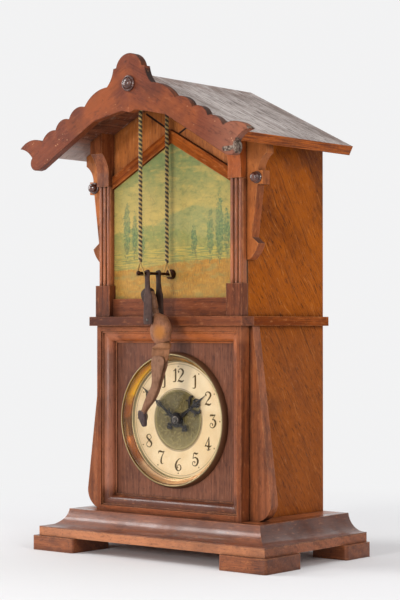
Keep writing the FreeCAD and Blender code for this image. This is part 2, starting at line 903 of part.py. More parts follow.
def hinges():
    third = "hinge_length / 3"
    case_leaves, door_leaves = [], []
    for i, low in enumerate(hinge_levels()):
        shapes = [pin_bar(f"hinge_pin_{i}", low, "hinge_length", "hinge_pin")]
        for j in (0, 2):
            start = f"{low} + {j} * {third}"
            shapes.append(pin_bar(f"hinge_knuckle_{i}_{j}", start, third, "hinge_knuckle"))
            x = ("-side_inner", "-side_inner + hinge_leaf")
            y = ("hinge_y - hinge_knuckle", "hinge_y + hinge_knuckle * 0.9")
            shapes.append(block(f"hinge_tab_{i}_{j}", x, y, (start, f"{start} + {third}")))
        case_leaves.append(fuse(f"hinge_case_leaf_{i}", shapes))
        start, stop = f"{low} + {third} + 0.1", f"{low} + 2 * {third} - 0.1"
        reach = "hinge_x + hinge_knuckle + 0.4"
        y = ("door_face", "door_face + hinge_leaf")
        x, z = (reach, "-side_inner + hinge_width"), (low, f"{low} + hinge_length")
        plate = block(f"hinge_plate_{i}", x, y, z)
        strap = block(f"hinge_strap_{i}", ("hinge_x", reach), y, (start, stop))
        knuckle = pin_bar(f"hinge_middle_{i}", start, f"{third} - 0.2", "hinge_knuckle")
        leaf = fuse(f"hinge_leaf_{i}", [plate, strap, knuckle])
        bore = pin_bar(f"hinge_bore_{i}", low, "hinge_length", "hinge_pin + running_fit")
        door_leaves.append(boolean("Cut", f"hinge_door_leaf_{i}", leaf, bore))
    return [group("hinge_case_leaves", case_leaves), group("hinge_door_leaves", door_leaves)]


# Dial: bezel, glass, plate, centre and hands


def bezel():
    profile = [
        ("bezel_radius - 1", "0"),
        ("bezel_radius", "0"),
        ("bezel_radius - 0.4", "bezel_rise - 1.2"),
        ("via", "bezel_radius - 1", "bezel_rise - 0.2"),
        ("bezel_radius - 1.8", "bezel_rise"),
        ("bezel_radius - 2.6", "bezel_rise - 0.6"),
        ("dial_radius", "-dial_recess"),
        ("dial_radius + bezel_wall", "-dial_recess"),
        ("bezel_radius - 2.6", "bezel_rise - 2.4"),
        ("bezel_radius - 1.4", "bezel_rise - 2.4"),
    ]
    return [turned("bezel", profile, "0", "panel_face", "dial_z")]


def bezel_glass():
    face = "panel_face - bezel_rise + 0.9"
    slope = "(bezel_radius - 2.6 - dial_radius) / (bezel_rise - 0.6 + dial_recess)"
    radius = f"bezel_radius - 2.6 - {slope} * (glass_thick + 0.3) - 0.05"
    return [rod("bezel_glass", "0", "dial_z", (face, f"{face} + glass_thick"), radius)]


def dial_plate():
    disc = prism(
        "dial_disc",
        "XZ",
        [("circle", "0", "dial_z", "panel_hole - 0.5"), ("circle", "0", "dial_z", "3.4")],
        "dial_face",
        "dial_face + dial_thick",
    )
    posts = []
    for side, sign in SIDES:
        y = ("dial_face + dial_thick", "plate_face")
        posts.append(rod(f"dial_post_{side}", f"{sign} * 30", "dial_z", y, "1.2"))
    return [fuse("dial_plate", [disc] + posts)]


def dial_centre():
    loops = [("circle", "0", "dial_z", "dial_centre_radius"), ("circle", "0", "dial_z", "3.4")]
    return [prism("dial_centre", "XZ", loops, "dial_face - centre_thick", "dial_face")]


def hand(label, length, boss, angle, face):
    """A spade hand with a counterpoise tail, drawn upright and turned clockwise from twelve."""
    body = doc.addObject("PartDesign::Body", label)
    body.Label = label
    neck = f"({length}) * 0.45"
    right = [
        ("1.5", "4.6"),
        ("1.0", neck),
        ("via", "3.2", f"{neck} + 4"),
        ("0.8", f"{neck} + 9"),
        ("0.3", length),
    ]
    left = [mirrored(point) for point in reversed(right)]
    tail = [
        ("-4.4", "1.5"),
        ("via", "-4.65", "0"),
        ("-4.4", "-1.5"),
        ("-1.2", "-4.6"),
        ("-1.6", "-11"),
        ("via", "0", "-12.8"),
        ("1.6", "-11"),
        ("1.2", "-4.6"),
        ("4.4", "-1.5"),
        ("via", "4.65", "0"),
        ("4.4", "1.5"),
    ]
    sketch = sketch_on(body, "XZ", [right + left + tail, ("circle", "0", "0", boss)])
    pad = body.newObject("PartDesign::Pad", label + "_pad")
    pad.Profile = sketch
    pad.setExpression("Length", ex("hand_thick"))
    body.Placement.Rotation = FreeCAD.Rotation(V(0, 1, 0), num(angle))
    body.setExpression("Placement.Base.y", ex(f"{face} + hand_thick"))
    body.setExpression("Placement.Base.z", ex("dial_z"))
    return body


def hands():
    hour = hand("hour_hand", "hour_length", "3", "hour_angle", "dial_face - 2")
    minute = hand("minute_hand", "minute_length", "2", "minute_angle", "dial_face - 3.4")
    return [hour, minute]


# Wheelwork: toothed wheels come from the involute formula

PRESSURE = math.radians(25)


def gear(teeth, module, low, high, phase=0.0):
    """A spur wheel about the Y axis with straight flanks laid on the involute, a tooth at the phase angle."""
    pitch = module * teeth / 2
    base = pitch * math.cos(PRESSURE)
    root, tip = pitch - 1.2 * module, pitch + 0.9 * module
    thick = math.pi * module / 2 - num("backlash") / 2

    def half_angle(radius):
        slant = math.acos(min(1.0, base / radius))
        start = math.tan(PRESSURE) - PRESSURE
        return thick / (2 * pitch) + start - (math.tan(slant) - slant)

    points = []
    for tooth in range(teeth):
        middle = phase + 2 * math.pi * tooth / teeth
        foot, head = half_angle(max(root, base)), half_angle(tip)
        for radius, turn in ((root, -foot), (tip, -head), (tip, head), (root, foot)):
            points.append(V(radius * math.cos(middle + turn), low, radius * math.sin(middle + turn)))
    face = Part.Face(Part.makePolygon(points + points[:1]))
    return face.extrude(V(0, high - low, 0))


def disc(radius, low, high, x=0.0, z=0.0):
    return Part.makeCylinder(radius, high - low, V(x, low, z), V(0, 1, 0))


def meshing_phase(teeth, direction):
    """The phase that puts a gap of a wheel towards a direction."""
    return direction + math.pi / teeth


def polar(radius, degrees):
    angle = math.radians(degrees)
    return radius * math.cos(angle), radius * math.sin(angle)


WHEEL, PINION, GREAT, CANNON_WHEEL = 48, 12, 60, 36
ESCAPE_RADIUS, ANCHOR_SET = 9.5, 3.6


def train_places():
    """Places of the arbors in X and Z, seen from the dial's centre."""
    module = num("train_module")
    barrel = polar(module * (GREAT + PINION) / 2, num("barrel_angle"))
    third = polar(module * (WHEEL + PINION) / 2, num("third_angle"))
    step = polar(module * (WHEEL + PINION) / 2, num("escape_angle"))
    escape = (third[0] + step[0], third[1] + step[1])
    anchor = (escape[0], escape[1] + ESCAPE_RADIUS + ANCHOR_SET)
    minute = (0.0, -num("cannon_module") * (CANNON_WHEEL + PINION) / 2)
    return {
        "centre": (0.0, 0.0),
        "barrel": barrel,
        "third": third,
        "escape": escape,
        "anchor": anchor,
        "minute": minute,
    }


PIVOTS = {"centre": "arbor_radius", "barrel": "winding_radius", "third": "pivot_radius"}


def plate_outline():
    """A square plate with a pivot hole for each arbor."""
    half = "plate_half"
    loops = [rectangle(half, "dial_z - plate_half", "dial_z + plate_half")]
    for name, (x, z) in train_places().items():
        if name != "minute":
            radius = PIVOTS.get(name, "pivot_radius")
            loops.append(("circle", str(x), f"dial_z + {z}", f"{radius} + running_fit"))
    return loops


def corner_rods(label, y):
    rods = []
    offset = "plate_half - pillar_inset"
    for side, sign in SIDES:
        for level, up in (("low", "-"), ("high", "+")):
            place = (f"{sign} * ({offset})", f"dial_z {up} ({offset})")
            rods.append(rod(f"{label}_{level}_{side}", *place, y, "pillar_radius"))
    return rods


def movement_plates():
    front = prism("front_plate_sheet", "XZ", plate_outline(), "plate_face", "train_front")
    posts = corner_rods("plate_post", ("panel_back", "plate_face"))
    x, z = train_places()["minute"]
    stud = rod("minute_stud", str(x), f"dial_z + {z}", ("dial_face + 3", "plate_face"), "1")
    back = prism("back_plate_sheet", "XZ", plate_outline(), "train_back", "train_back + plate_thick")
    pillars = corner_rods("plate_pillar", ("train_front", "train_back"))
    return [
        fuse("movement_front_plate", [front, stud] + posts),
        fuse("movement_back_plate", [back] + pillars),
    ]


def placed(label, shape, at, z="dial_z"):
    shape.translate(V(at[0], 0, num(z) + at[1]))
    return feature(label, shape)


def winding_arbor(front, wing):
    """A barrel's arbor with its winding wings: a plain bar with a boss at its outer end."""
    radius = num("winding_radius")
    bar = disc(radius, front, wing + 8)
    wings = Part.makeBox(22, 8, 2, V(-11, wing, -1))
    boss = disc(radius + 1.8, wing - 1.5, wing + 8)
    return bar.fuse([boss, wings]).removeSplitter()


def barrel(module, teeth, wheel, drum, phase):
    """A spring drum with its great wheel, bored to turn on the winding arbor."""
    body = disc(num("drum_radius"), *drum).fuse(gear(teeth, module, *wheel, phase))
    bore = disc(num("winding_radius + running_fit"), min(drum[0], wheel[0]) - 1, max(drum[1], wheel[1]) + 1)
    return body.cut(bore).removeSplitter()


def going_train():
    module = num("train_module")
    at = train_places()
    front, back = num("train_front"), num("train_back")
    toward = math.radians(num("barrel_angle"))
    great_phase = meshing_phase(GREAT, toward + math.pi)
    drum = barrel(module, GREAT, (front + 17, front + 19), (front + 4, front + 17), great_phase)
    key = winding_arbor(num("plate_face"), back + 12)
    pieces = [placed("going_barrel", drum, at["barrel"]), placed("going_key", key, at["barrel"])]

    bore = disc(num("arbor_radius + running_fit"), front + 15, front + 26)
    third_phase = math.radians(num("third_angle"))
    wheel = gear(PINION, module, front + 16, front + 20, toward)
    rim = gear(WHEEL, module, front + 22, front + 23.2, third_phase)
    wheel = wheel.fuse([disc(2.4, front + 20, front + 22), rim])
    pieces.append(placed("centre_wheel", wheel.cut(bore).removeSplitter(), at["centre"]))

    escape_phase = math.radians(num("escape_angle"))
    pivots = disc(num("pivot_radius"), num("plate_face"), back + num("plate_thick"))
    arbor = disc(num("arbor_radius"), front + 0.3, back - 0.3)
    pinion = gear(PINION, module, front + 21, front + 24.2, meshing_phase(PINION, third_phase + math.pi))
    wheel = gear(WHEEL, module, front + 10, front + 11.2, escape_phase)
    third = pivots.fuse([arbor, pinion, wheel]).removeSplitter()
    pieces.append(placed("third_wheel", third, at["third"]))

    pinion = gear(PINION, module, front + 9, front + 12.2, meshing_phase(PINION, escape_phase + math.pi))
    escape = pivots.fuse([arbor, pinion, ratchet(front + 5, front + 6)]).removeSplitter()
    pieces.append(placed("escape_wheel", escape, at["escape"]))
    return pieces


def ratchet(low, high):
    """The escape wheel's raked teeth."""
    teeth, root = 30, ESCAPE_RADIUS - 1.7
    points = []
    for tooth in range(teeth):
        start = 2 * math.pi * tooth / teeth
        for radius, turn in ((root, 0.0), (ESCAPE_RADIUS, 0.75), (ESCAPE_RADIUS, 0.85)):
            angle = start + turn * 2 * math.pi / teeth
            points.append(V(radius * math.cos(angle), low, radius * math.sin(angle)))
    face = Part.Face(Part.makePolygon(points + points[:1]))
    return face.extrude(V(0, high - low, 0))


def pendulum():
    """Anchor, arbor, rod and bob, which rock together."""
    front, back = num("train_front"), num("train_back")
    drop, swing = ESCAPE_RADIUS + ANCHOR_SET, back + num("plate_thick") + 4.5
    clear = 1.0
    inner, outer = ESCAPE_RADIUS + clear, drop - num("arbor_radius") + 0.6
    ring = disc(outer, front + 5, front + 6, 0, -drop).cut(disc(inner, front + 4, front + 7, 0, -drop))
    keep = Part.makeBox(18, 3, 9, V(-9, front + 4, -6.5))
    pivots = disc(num("pivot_radius"), num("plate_face"), swing + 1.5)
    arbor = disc(num("arbor_radius"), front + 0.3, back - 0.3)
    length = num("pendulum_length")
    stem = Part.makeCylinder(0.8, length, V(0, swing, -length), V(0, 0, 1))
    hub = disc(2.2, swing - 1.5, swing + 1.5)
    bob = disc(num("bob_radius"), swing - 2.5, swing + 2.5, 0, -length)
    shape = pivots.fuse([arbor, ring.common(keep), hub, stem, bob]).removeSplitter()
    return [placed("pendulum", shape, train_places()["anchor"])]


def motion_work():
    """Centre arbor with cannon leaves and setting knob, minute wheel and hour wheel."""
    at = train_places()
    face, plate = num("dial_face"), num("plate_face")
    back = num("train_back + plate_thick")
    down = -math.pi / 2
    leaves = gear(PINION, num("cannon_module"), plate - 2.8, plate - 0.8, down)
    pipe = disc(2.0, face - 4.4, plate - 2.8)
    bar = disc(num("arbor_radius"), plate - 0.8, back + 8)
    knob = disc(5.0, back + 4, back + 8)
    arbor = leaves.fuse([pipe, bar, knob]).removeSplitter()
    pieces = [placed("centre_arbor", arbor, at["centre"])]

    wheel_phase = meshing_phase(CANNON_WHEEL, -down)
    wheel = gear(CANNON_WHEEL, num("cannon_module"), plate - 2.4, plate - 1.2, wheel_phase)
    pinion = gear(PINION, num("hour_module"), plate - 5.2, plate - 2.4, meshing_phase(PINION, -down))
    bore = disc(1 + num("running_fit"), plate - 6, plate)
    minute = wheel.fuse(pinion).cut(bore).removeSplitter()
    pieces.append(placed("minute_wheel", minute, at["minute"]))

    wheel = gear(WHEEL, num("hour_module"), plate - 4.6, plate - 3.4, down)
    pipe = disc(3.0, face - 2.3, plate - 4.6)
    bore = disc(2.0 + num("running_fit"), face - 3, plate)
    pieces.append(placed("hour_wheel", wheel.fuse(pipe).cut(bore).removeSplitter(), at["centre"]))
    return pieces


# Trapeze: drive behind the niche panel, bar, ropes and fittings

DRIVE_TEETH = 48


def trapeze_drive():
    module, front, back = num("drive_module"), num("bracket_front"), num("bracket_back")
    rise = module * (DRIVE_TEETH + PINION) / 2
    half, low, high = "22", "bar_z - 10", f"bar_z + {rise} + 26"
    shapes = []
    for name, place in (("front", "bracket_front"), ("back", "bracket_back")):
        loops = [
            rectangle(half, low, high),
            ("circle", "0", "bar_z", "bar_radius + running_fit"),
            ("circle", "0", f"bar_z + {rise}", "winding_radius + running_fit"),
        ]
        shapes.append(prism(f"bracket_{name}", "XZ", loops, place, f"{place} + plate_thick"))
    for side, sign in SIDES:
        for level, z in (("low", f"{low} + 3"), ("high", f"{high} - 3")):
            y = ("bracket_front + plate_thick", "bracket_back")
            shapes.append(rod(f"bracket_post_{level}_{side}", f"{sign} * 19", z, y, "pillar_radius"))
    bracket = fuse("trapeze_bracket", shapes)

    phase = meshing_phase(DRIVE_TEETH, -math.pi / 2)
    drum = barrel(module, DRIVE_TEETH, (front + 7, front + 9.5), (front + 9.5, front + 23), phase)
    key = winding_arbor(front, back + 8)
    at = (0.0, rise)
    return [bracket, placed("drive_barrel", drum, at, "bar_z"), placed("drive_key", key, at, "bar_z")]


def trapeze_bar():
    """Bar with a ball at its free end, a collar by the niche panel and the drive pinion behind it."""
    radius = num("bar_radius")
    face, front, back = num("board_face"), num("bracket_front"), num("bracket_back")
    tip = face - num("bar_reach")
    bar = disc(radius, tip + radius, back + num("plate_thick"))
    ball = Part.makeSphere(radius * 1.6, V(0, tip + radius * 1.6, 0))
    collar = disc(num("collar_radius"), face - 3.4, face - 0.4)
    pinion = gear(PINION, num("drive_module"), front + 6, front + 11, math.pi / 2)
    return [placed("trapeze_bar", bar.fuse([ball, collar, pinion]).removeSplitter(), (0.0, 0.0), "bar_z")]


def rope_levels():
    """Bottom and top height of a rope, between its stirrup and its hook."""
    low = "bar_z + stirrup_height + wire_radius"
    high = f"{under('0')} - 2 * hook_radius - 4 - wire_radius"
    return low, high


def rope(label, reach):
    low, high = rope_levels()
    made = doc.addObject("Part::Cylinder", label)
    made.Label = label
    made.setExpression("Radius", ex("rope_radius"))
    made.setExpression("Height", ex(f"{high} - ({low})"))
    made.setExpression("Placement.Base.y", ex(f"board_face - {reach}"))
    made.setExpression("Placement.Base.z", ex(low))
    return made


def wire(corners, radius):
    """A bent wire: bars between corners, with a ball at each corner."""
    shapes = []
    for first, last in zip(corners, corners[1:]):
        along = last - first
        shapes.append(Part.makeCylinder(radius, along.Length, first, along))
    for corner in corners[:-1]:
        shapes.append(Part.makeSphere(radius * 1.1, corner))
    return shapes[0].fuse(shapes[1:]).removeSplitter()


def rope_fittings():
    """A triangular stirrup under the bar and an eye hook under the ridge, for each rope."""
    thin, bar_z = num("wire_radius"), num("bar_z")
    half, low = num("stirrup_half"), -num("bar_radius") - thin - 0.1
    ring, eye = num("hook_radius"), num(under("0")) - num("hook_radius") - 4
    pieces = []
    for name, reach in (("front", "rope_front_reach"), ("rear", "rope_rear_reach")):
        y = num(f"board_face - {reach}")
        apex = V(0, y, bar_z + num("stirrup_height"))
        corners = [apex, V(-half, y, bar_z + low), V(half, y, bar_z + low), apex]
        pieces.append(feature(f"stirrup_{name}", wire(corners, thin)))
        loop = Part.makeTorus(ring, thin, V(0, y, eye), V(0, 1, 0))
        stem_top = num(under("wire_radius * 2"))
        stem = Part.makeCylinder(thin * 2, stem_top - eye - ring, V(0, y, eye + ring), V(0, 0, 1))
        pieces.append(feature(f"hook_{name}", loop.fuse(stem).removeSplitter()))
    return [group("rope_fittings", pieces)]


def ropes():
    return [rope("rope_front", "rope_front_reach"), rope("rope_rear", "rope_rear_reach"), *rope_fittings()]


# Acrobat: flat arms on the bar, a trunk between them and two legs, in places from the bar


def from_bar(points):
    placed_points = []
    for point in points:
        if point[0] == "via":
            placed_points.append(("via", str(point[1]), f"bar_z + {point[2]}"))
        else:
            placed_points.append((str(point[0]), f"bar_z + {point[1]}"))
    return placed_points


def acrobat_arms():
    outline = from_bar(
        [
            (-2.5, -0.3),
            (-2.0, -10),
            (-4.2, -18.5),
            (-3.0, -36),
            ("via", 1.6, -41),
            (6.6, -36.5),
            (5.6, -14),
            (2.7, -9),
            (2.5, -0.3),
            ("via", 0, 2.5),
        ]
    )
    hole = ("circle", "0", "bar_z", "bar_radius")
    arms = []
    for name, sign in (("near", "-"), ("far", "+")):
        middle = f"figure_y {sign} arm_spacing / 2"
        low, high = f"{middle} - arm_thick / 2", f"{middle} + arm_thick / 2"
        arms.append(prism(f"arm_{name}", "XZ", [outline, hole], low, high))
    reach = ("figure_y - arm_spacing / 2", "figure_y + arm_spacing / 2")
    arms.append(rod("shoulder_pin", "shoulder_x", "bar_z - shoulder_drop", reach, "figure_pin"))
    return [fuse("acrobat_arms", arms)]


def acrobat_trunk():
    chest = from_bar(
        [
            (1.5, -31.5),
            (7.6, -32.6),
            ("via", 17.2, -39.2),
            (19.0, -50),
            (17.6, -54.2),
            (5.0, -52.4),
            ("via", -0.6, -46.5),
            (-1.4, -41),
            (-0.6, -34),
        ]
    )
    hips = from_bar(
        [
            (5.0, -50.5),
            (17.6, -52),
            (20.2, -58),
            ("via", 18.4, -66.4),
            (9.0, -71.5),
            ("via", 1.6, -68.4),
            (0.6, -60),
        ]
    )
    head = from_bar([(3.4, -15), ("via", 9.2, -22.6), (5.6, -31.2), (0.6, -31.2), ("via", -3.4, -22.6)])
    neck = from_bar([(0.8, -29), (5.4, -29), (6.0, -34), (0.8, -34)])
    shoulder_hole = ("circle", "shoulder_x", "bar_z - shoulder_drop", "figure_pin + running_fit")
    hip_hole = ("circle", "hip_x", "bar_z - hip_drop", "figure_pin + running_fit")
    rows = (
        ("chest", [chest, shoulder_hole], "trunk_thick"),
        ("hips", [hips, hip_hole], "pelvis_thick"),
        ("head", [head], "trunk_thick - 1"),
        ("neck", [neck], "trunk_thick - 4"),
    )
    shapes = []
    for name, loops, thick in rows:
        low, high = f"figure_y - ({thick}) / 2", f"figure_y + ({thick}) / 2"
        shapes.append(prism(f"trunk_{name}", "XZ", loops, low, high))
    return [fuse("acrobat_trunk", shapes)]


def acrobat_legs():
    outline = from_bar(
        [
            (3.0, -66.5),
            ("via", 9.4, -62.6),
            (15.4, -69),
            (13.8, -79),
            (10.4, -89),
            (6.6, -96.8),
            (-1.6, -104.6),
            (-2.6, -110),
            (-2.8, -114.6),
            ("via", -4.4, -116.6),
            (-6.6, -115),
            (-11.4, -109.4),
            ("via", -11.8, -107.6),
            (-9.6, -105.6),
            (-4.8, -101),
            (-2.8, -92),
            (1.6, -86),
            (3.0, -75),
        ]
    )
    gap = "pelvis_thick / 2 + 0.3"
    legs = []
    for name, low, high in (
        ("near", f"figure_y - ({gap}) - leg_thick", f"figure_y - ({gap})"),
        ("far", f"figure_y + ({gap})", f"figure_y + ({gap}) + leg_thick"),
    ):
        legs.append(prism(f"leg_{name}", "XZ", [outline], low, high))
    reach = (f"figure_y - ({gap}) - leg_thick", f"figure_y + ({gap}) + leg_thick")
    legs.append(rod("hip_pin", "hip_x", "bar_z - hip_drop", reach, "figure_pin"))
    return [fuse("acrobat_legs", legs)]


MAKERS = (
    feet,
    base_board,
    base_coves,
    side_panels,
    front_frame,
    frame_moulding,
    front_panel,
    lower_wings,
    divider_shelf,
    belt_strips,
    plinth_blocks,
    pilasters,
    corbels,
    upper_wings,
    niche_rail,
    painted_panel,
    gable_board,
    gable_trims,
    roof_panels,
    barge_board,
    turned_buttons,
    back_gable,
    rear_door,
    door_knob,
    hinges,
    bezel,
    bezel_glass,
    dial_plate,
    dial_centre,
    hands,
    movement_plates,
    going_train,
    pendulum,
    motion_work,
    trapeze_drive,
    trapeze_bar,
    ropes,
    acrobat_arms,
    acrobat_trunk,
    acrobat_legs,
)

nodes = []
for maker in MAKERS:
    nodes += maker()
doc.recompute()

failed = [o.Label for o in doc.Objects if "Invalid" in o.State or "Error" in o.State]
if failed:
    raise RuntimeError("objects that failed: " + ", ".join(failed))
for node in nodes:
    if node.Shape.isNull() or not node.Shape.isValid() or not node.Shape.Solids:
        raise RuntimeError("no valid solid: " + node.Label)

os.makedirs("parts", exist_ok=True)
for node in nodes:
    node.Shape.exportStep(f"parts/{node.Label}.step")
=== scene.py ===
import math

import bmesh
import bpy
import numpy as np
from mathutils import Matrix, Vector


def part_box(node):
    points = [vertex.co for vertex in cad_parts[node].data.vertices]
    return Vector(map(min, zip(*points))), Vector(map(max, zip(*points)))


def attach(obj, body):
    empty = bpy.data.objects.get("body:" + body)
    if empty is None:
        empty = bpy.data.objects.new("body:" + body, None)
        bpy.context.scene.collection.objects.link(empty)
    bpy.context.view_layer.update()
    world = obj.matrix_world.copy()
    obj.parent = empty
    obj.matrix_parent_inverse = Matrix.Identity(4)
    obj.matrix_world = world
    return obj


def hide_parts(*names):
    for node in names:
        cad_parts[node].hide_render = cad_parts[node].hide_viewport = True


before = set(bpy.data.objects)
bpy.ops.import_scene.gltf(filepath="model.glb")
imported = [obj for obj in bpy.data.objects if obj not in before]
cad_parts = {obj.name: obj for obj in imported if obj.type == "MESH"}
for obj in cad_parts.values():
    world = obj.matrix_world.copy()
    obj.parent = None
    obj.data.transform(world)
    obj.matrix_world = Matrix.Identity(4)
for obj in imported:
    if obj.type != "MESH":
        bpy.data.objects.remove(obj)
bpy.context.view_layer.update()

MM = 0.001
TURN = 2 * math.pi
scene = bpy.context.scene
scene.view_settings.view_transform = "Standard"


# Places that the fixed frame gives, in millimetres

def span(node, axis):
    """Where a node begins and ends along an axis."""
    low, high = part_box(node)
    return low[axis] / MM, high[axis] / MM


def middle(node, axis):
    low, high = span(node, axis)
    return (low + high) / 2


DIAL_Z = middle("dial_plate", 2)
DIAL_FACE = span("dial_plate", 1)[0]
CENTRE_FACE = span("dial_centre", 1)[0]
CENTRE_RADIUS = span("dial_centre", 0)[1]
BEZEL_RIM = span("bezel", 0)[1]
CONE_TOP = BEZEL_RIM - 2.6
CONE_FOOT = BEZEL_RIM - 8.0
FRAME_MIDDLE = middle("front_frame", 2)
STILE_EDGE = 65.0
BAR_Z = middle("trapeze_bar", 2)
FIGURE_Y = middle("acrobat_arms", 1)
BASE_FACE = span("base_cove", 1)[0]
BASE_HALF = span("base_cove", 0)[1]
ROOF_SLOPE = 0.506
TRIM_SLOPE = 0.555


# Camera

CAMERA_PLACE = (866.86, -1045.86, 177.03)
CAMERA_TURN = math.radians(39.33)
CAMERA_RISE = math.radians(0.94)

camera = bpy.data.objects.new("studio_camera", bpy.data.cameras.new("studio_camera"))
camera.data.lens = 103.67
camera.data.sensor_width = 36
camera.data.clip_end = 50
camera.location = Vector(CAMERA_PLACE) * MM
camera.rotation_euler = (math.pi / 2 + CAMERA_RISE, 0, CAMERA_TURN)
scene.collection.objects.link(camera)
scene.camera = camera


# Finishes

def screen(red, green, blue):
    """A colour in screen values, turned into the light values a shader takes."""
    return tuple(((c / 255 + 0.055) / 1.055) ** 2.4 for c in (red, green, blue)) + (1.0,)


class Signal:
    """A socket among a finish's nodes. Arithmetic on it adds Math nodes."""

    def __init__(self, finish, socket):
        self.finish = finish
        self.socket = socket

    def math(self, operation, first, second=0.0):
        return self.finish.node("ShaderNodeMath", {"operation": operation}, {0: first, 1: second})

    def __add__(self, other):
        return self.math("ADD", self, other)

    def __radd__(self, other):
        return self.math("ADD", other, self)

    def __sub__(self, other):
        return self.math("SUBTRACT", self, other)

    def __rsub__(self, other):
        return self.math("SUBTRACT", other, self)

    def __mul__(self, other):
        return self.math("MULTIPLY", self, other)

    def __rmul__(self, other):
        return self.math("MULTIPLY", other, self)

    def __truediv__(self, other):
        return self.math("DIVIDE", self, other)

    def __pow__(self, other):
        return self.math("POWER", self, other)

    def __abs__(self):
        return self.math("ABSOLUTE", self)

    def sine(self):
        return self.math("SINE", self)

    def least(self, other):
        return self.math("MINIMUM", self, other)

    def most(self, other):
        return self.math("MAXIMUM", self, other)

    def over(self, start, stop):
        """0 up to start, 1 from stop on, and a soft step between them."""
        return self.finish.node("ShaderNodeMapRange", {"interpolation_type": "SMOOTHSTEP"},
                                {0: self, 1: start, 2: stop})


def apart(a, b):
    """How far a point is from the middle, from its two distances."""
    return (a * a + b * b) ** 0.5


class Finish:
    """A material being laid out, with lengths in millimetres."""

    def __init__(self, name, constants=None):
        self.material = bpy.data.materials.new(name)
        self.material.use_nodes = True
        self.nodes = self.material.node_tree.nodes
        self.links = self.material.node_tree.links
        self.shader = self.nodes["Principled BSDF"]
        for socket, value in (constants or {}).items():
            self.shader.inputs[socket].default_value = value
        self._place = None
        self._rounded = {}

    def node(self, kind, settings=None, sockets=None, output=0):
        """A node of any kind. A colour may be given by its three screen values."""
        made = self.nodes.new(kind)
        for name, value in (settings or {}).items():
            setattr(made, name, value)
        for name, value in (sockets or {}).items():
            if isinstance(value, Signal):
                self.links.new(value.socket, made.inputs[name])
            elif isinstance(value, tuple) and len(value) == 3:
                made.inputs[name].default_value = screen(*value)
            else:
                made.inputs[name].default_value = value
        return Signal(self, made.outputs[output])

    def feed(self, socket, signal):
        self.links.new(signal.socket, self.shader.inputs[socket])

    def place(self):
        """Where a point of the piece is, in millimetres."""
        if self._place is None:
            metres = self.node("ShaderNodeTexCoord", output="Object")
            self._place = self.node("ShaderNodeVectorMath", {"operation": "SCALE"},
                                    {0: metres, "Scale": 1 / MM})
        return self._place

    def split(self, vector):
        parts = self.node("ShaderNodeSeparateXYZ", {}, {0: vector}).socket.node
        return [Signal(self, parts.outputs[i]) for i in range(3)]

    def axes(self):
        """Where a point of the piece is, as three numbers."""
        return self.split(self.place())

    def flat(self):
        return self.node("ShaderNodeNewGeometry", output="True Normal")

    def facing(self):
        """The surface's own direction, as three numbers."""
        return self.split(self.flat())

    def vector(self, x, y, z):
        return self.node("ShaderNodeCombineXYZ", {}, {0: x, 1: y, 2: z})

    def noise(self, where, size=1.0, detail=3.0, rough=0.5):
        return self.node("ShaderNodeTexNoise", {},
                         {"Vector": where, "Scale": 1 / size, "Detail": detail, "Roughness": rough})

    def cells(self, where, size, feature="F1"):
        return self.node("ShaderNodeTexVoronoi", {"feature": feature},
                         {"Vector": where, "Scale": 1 / size})

    def mix(self, factor, first, second, way="MIX"):
        return self.node("ShaderNodeMix", {"data_type": "RGBA", "blend_type": way},
                         {0: factor, 6: first, 7: second}, 2)

    def rounded(self, radius):
        if radius not in self._rounded:
            self._rounded[radius] = self.node("ShaderNodeBevel", {"samples": 4},
                                              {"Radius": radius * MM})
        return self._rounded[radius]

    def edges(self, radius):
        """1 along sharp edges, 0 on open faces."""
        agree = self.node("ShaderNodeVectorMath", {"operation": "DOT_PRODUCT"},
                          {0: self.rounded(radius), 1: self.flat()}, "Value")
        return (1 - agree).over(0.02, 0.2)

    def corners(self, reach):
        """1 deep in inner corners, 0 in the open."""
        open_air = self.node("ShaderNodeAmbientOcclusion", {"samples": 4},
                             {"Distance": reach * MM}, "AO")
        return (1 - open_air).over(0.2, 0.85)

    def relief(self, height, depth, soft=0.0):
        """Bump of the given depth in millimetres, over edges eased by soft."""
        sockets = {"Strength": 1.0, "Distance": depth * MM, "Height": height}
        if soft:
            sockets["Normal"] = self.rounded(soft)
        self.feed("Normal", self.node("ShaderNodeBump", {}, sockets))


# Grain layouts: along the grain, across it, and through the board

def upright(f):
    """Grain that runs up the board."""
    x, y, z = f.axes()
    return z, x, y


def level(f):
    """Grain that runs across the front."""
    x, y, z = f.axes()
    return x, z, y


def fore_and_aft(f):
    """Grain that runs from front to back."""
    x, y, z = f.axes()
    return y, x, z


def mitred_base(f):
    """Along the front, and along the sides behind the mitre."""
    x, y, z = f.axes()
    side = (abs(x) - BASE_HALF - (BASE_FACE - y)).over(-0.1, 0.1)
    along = x + (y + 300 - x) * side
    return along, z, y + (x - y) * side


def framed(x, y, z, stile):
    """Level grain, turned upright where stile is 1."""
    along = x + (z + 200 - x) * stile
    across = z + (x - z) * stile
    return along, across, y


def mitred_frame(f):
    """Rails run level and stiles upright, with a mitre between them."""
    x, y, z = f.axes()
    return framed(x, y, z, (abs(x) - abs(z - FRAME_MIDDLE)).over(-0.1, 0.1))


def stiles_and_rails(f):
    """Full-length stiles with rails between them."""
    x, y, z = f.axes()
    return framed(x, y, z, abs(x).over(STILE_EDGE - 0.1, STILE_EDGE + 0.1))


SIDE_SLANT = math.radians(35)


def slanting(f):
    """Grain that runs backwards as it goes down."""
    x, y, z = f.axes()
    along = z * math.cos(SIDE_SLANT) - y * math.sin(SIDE_SLANT)
    across = y * math.cos(SIDE_SLANT) + z * math.sin(SIDE_SLANT)
    return along, across, x


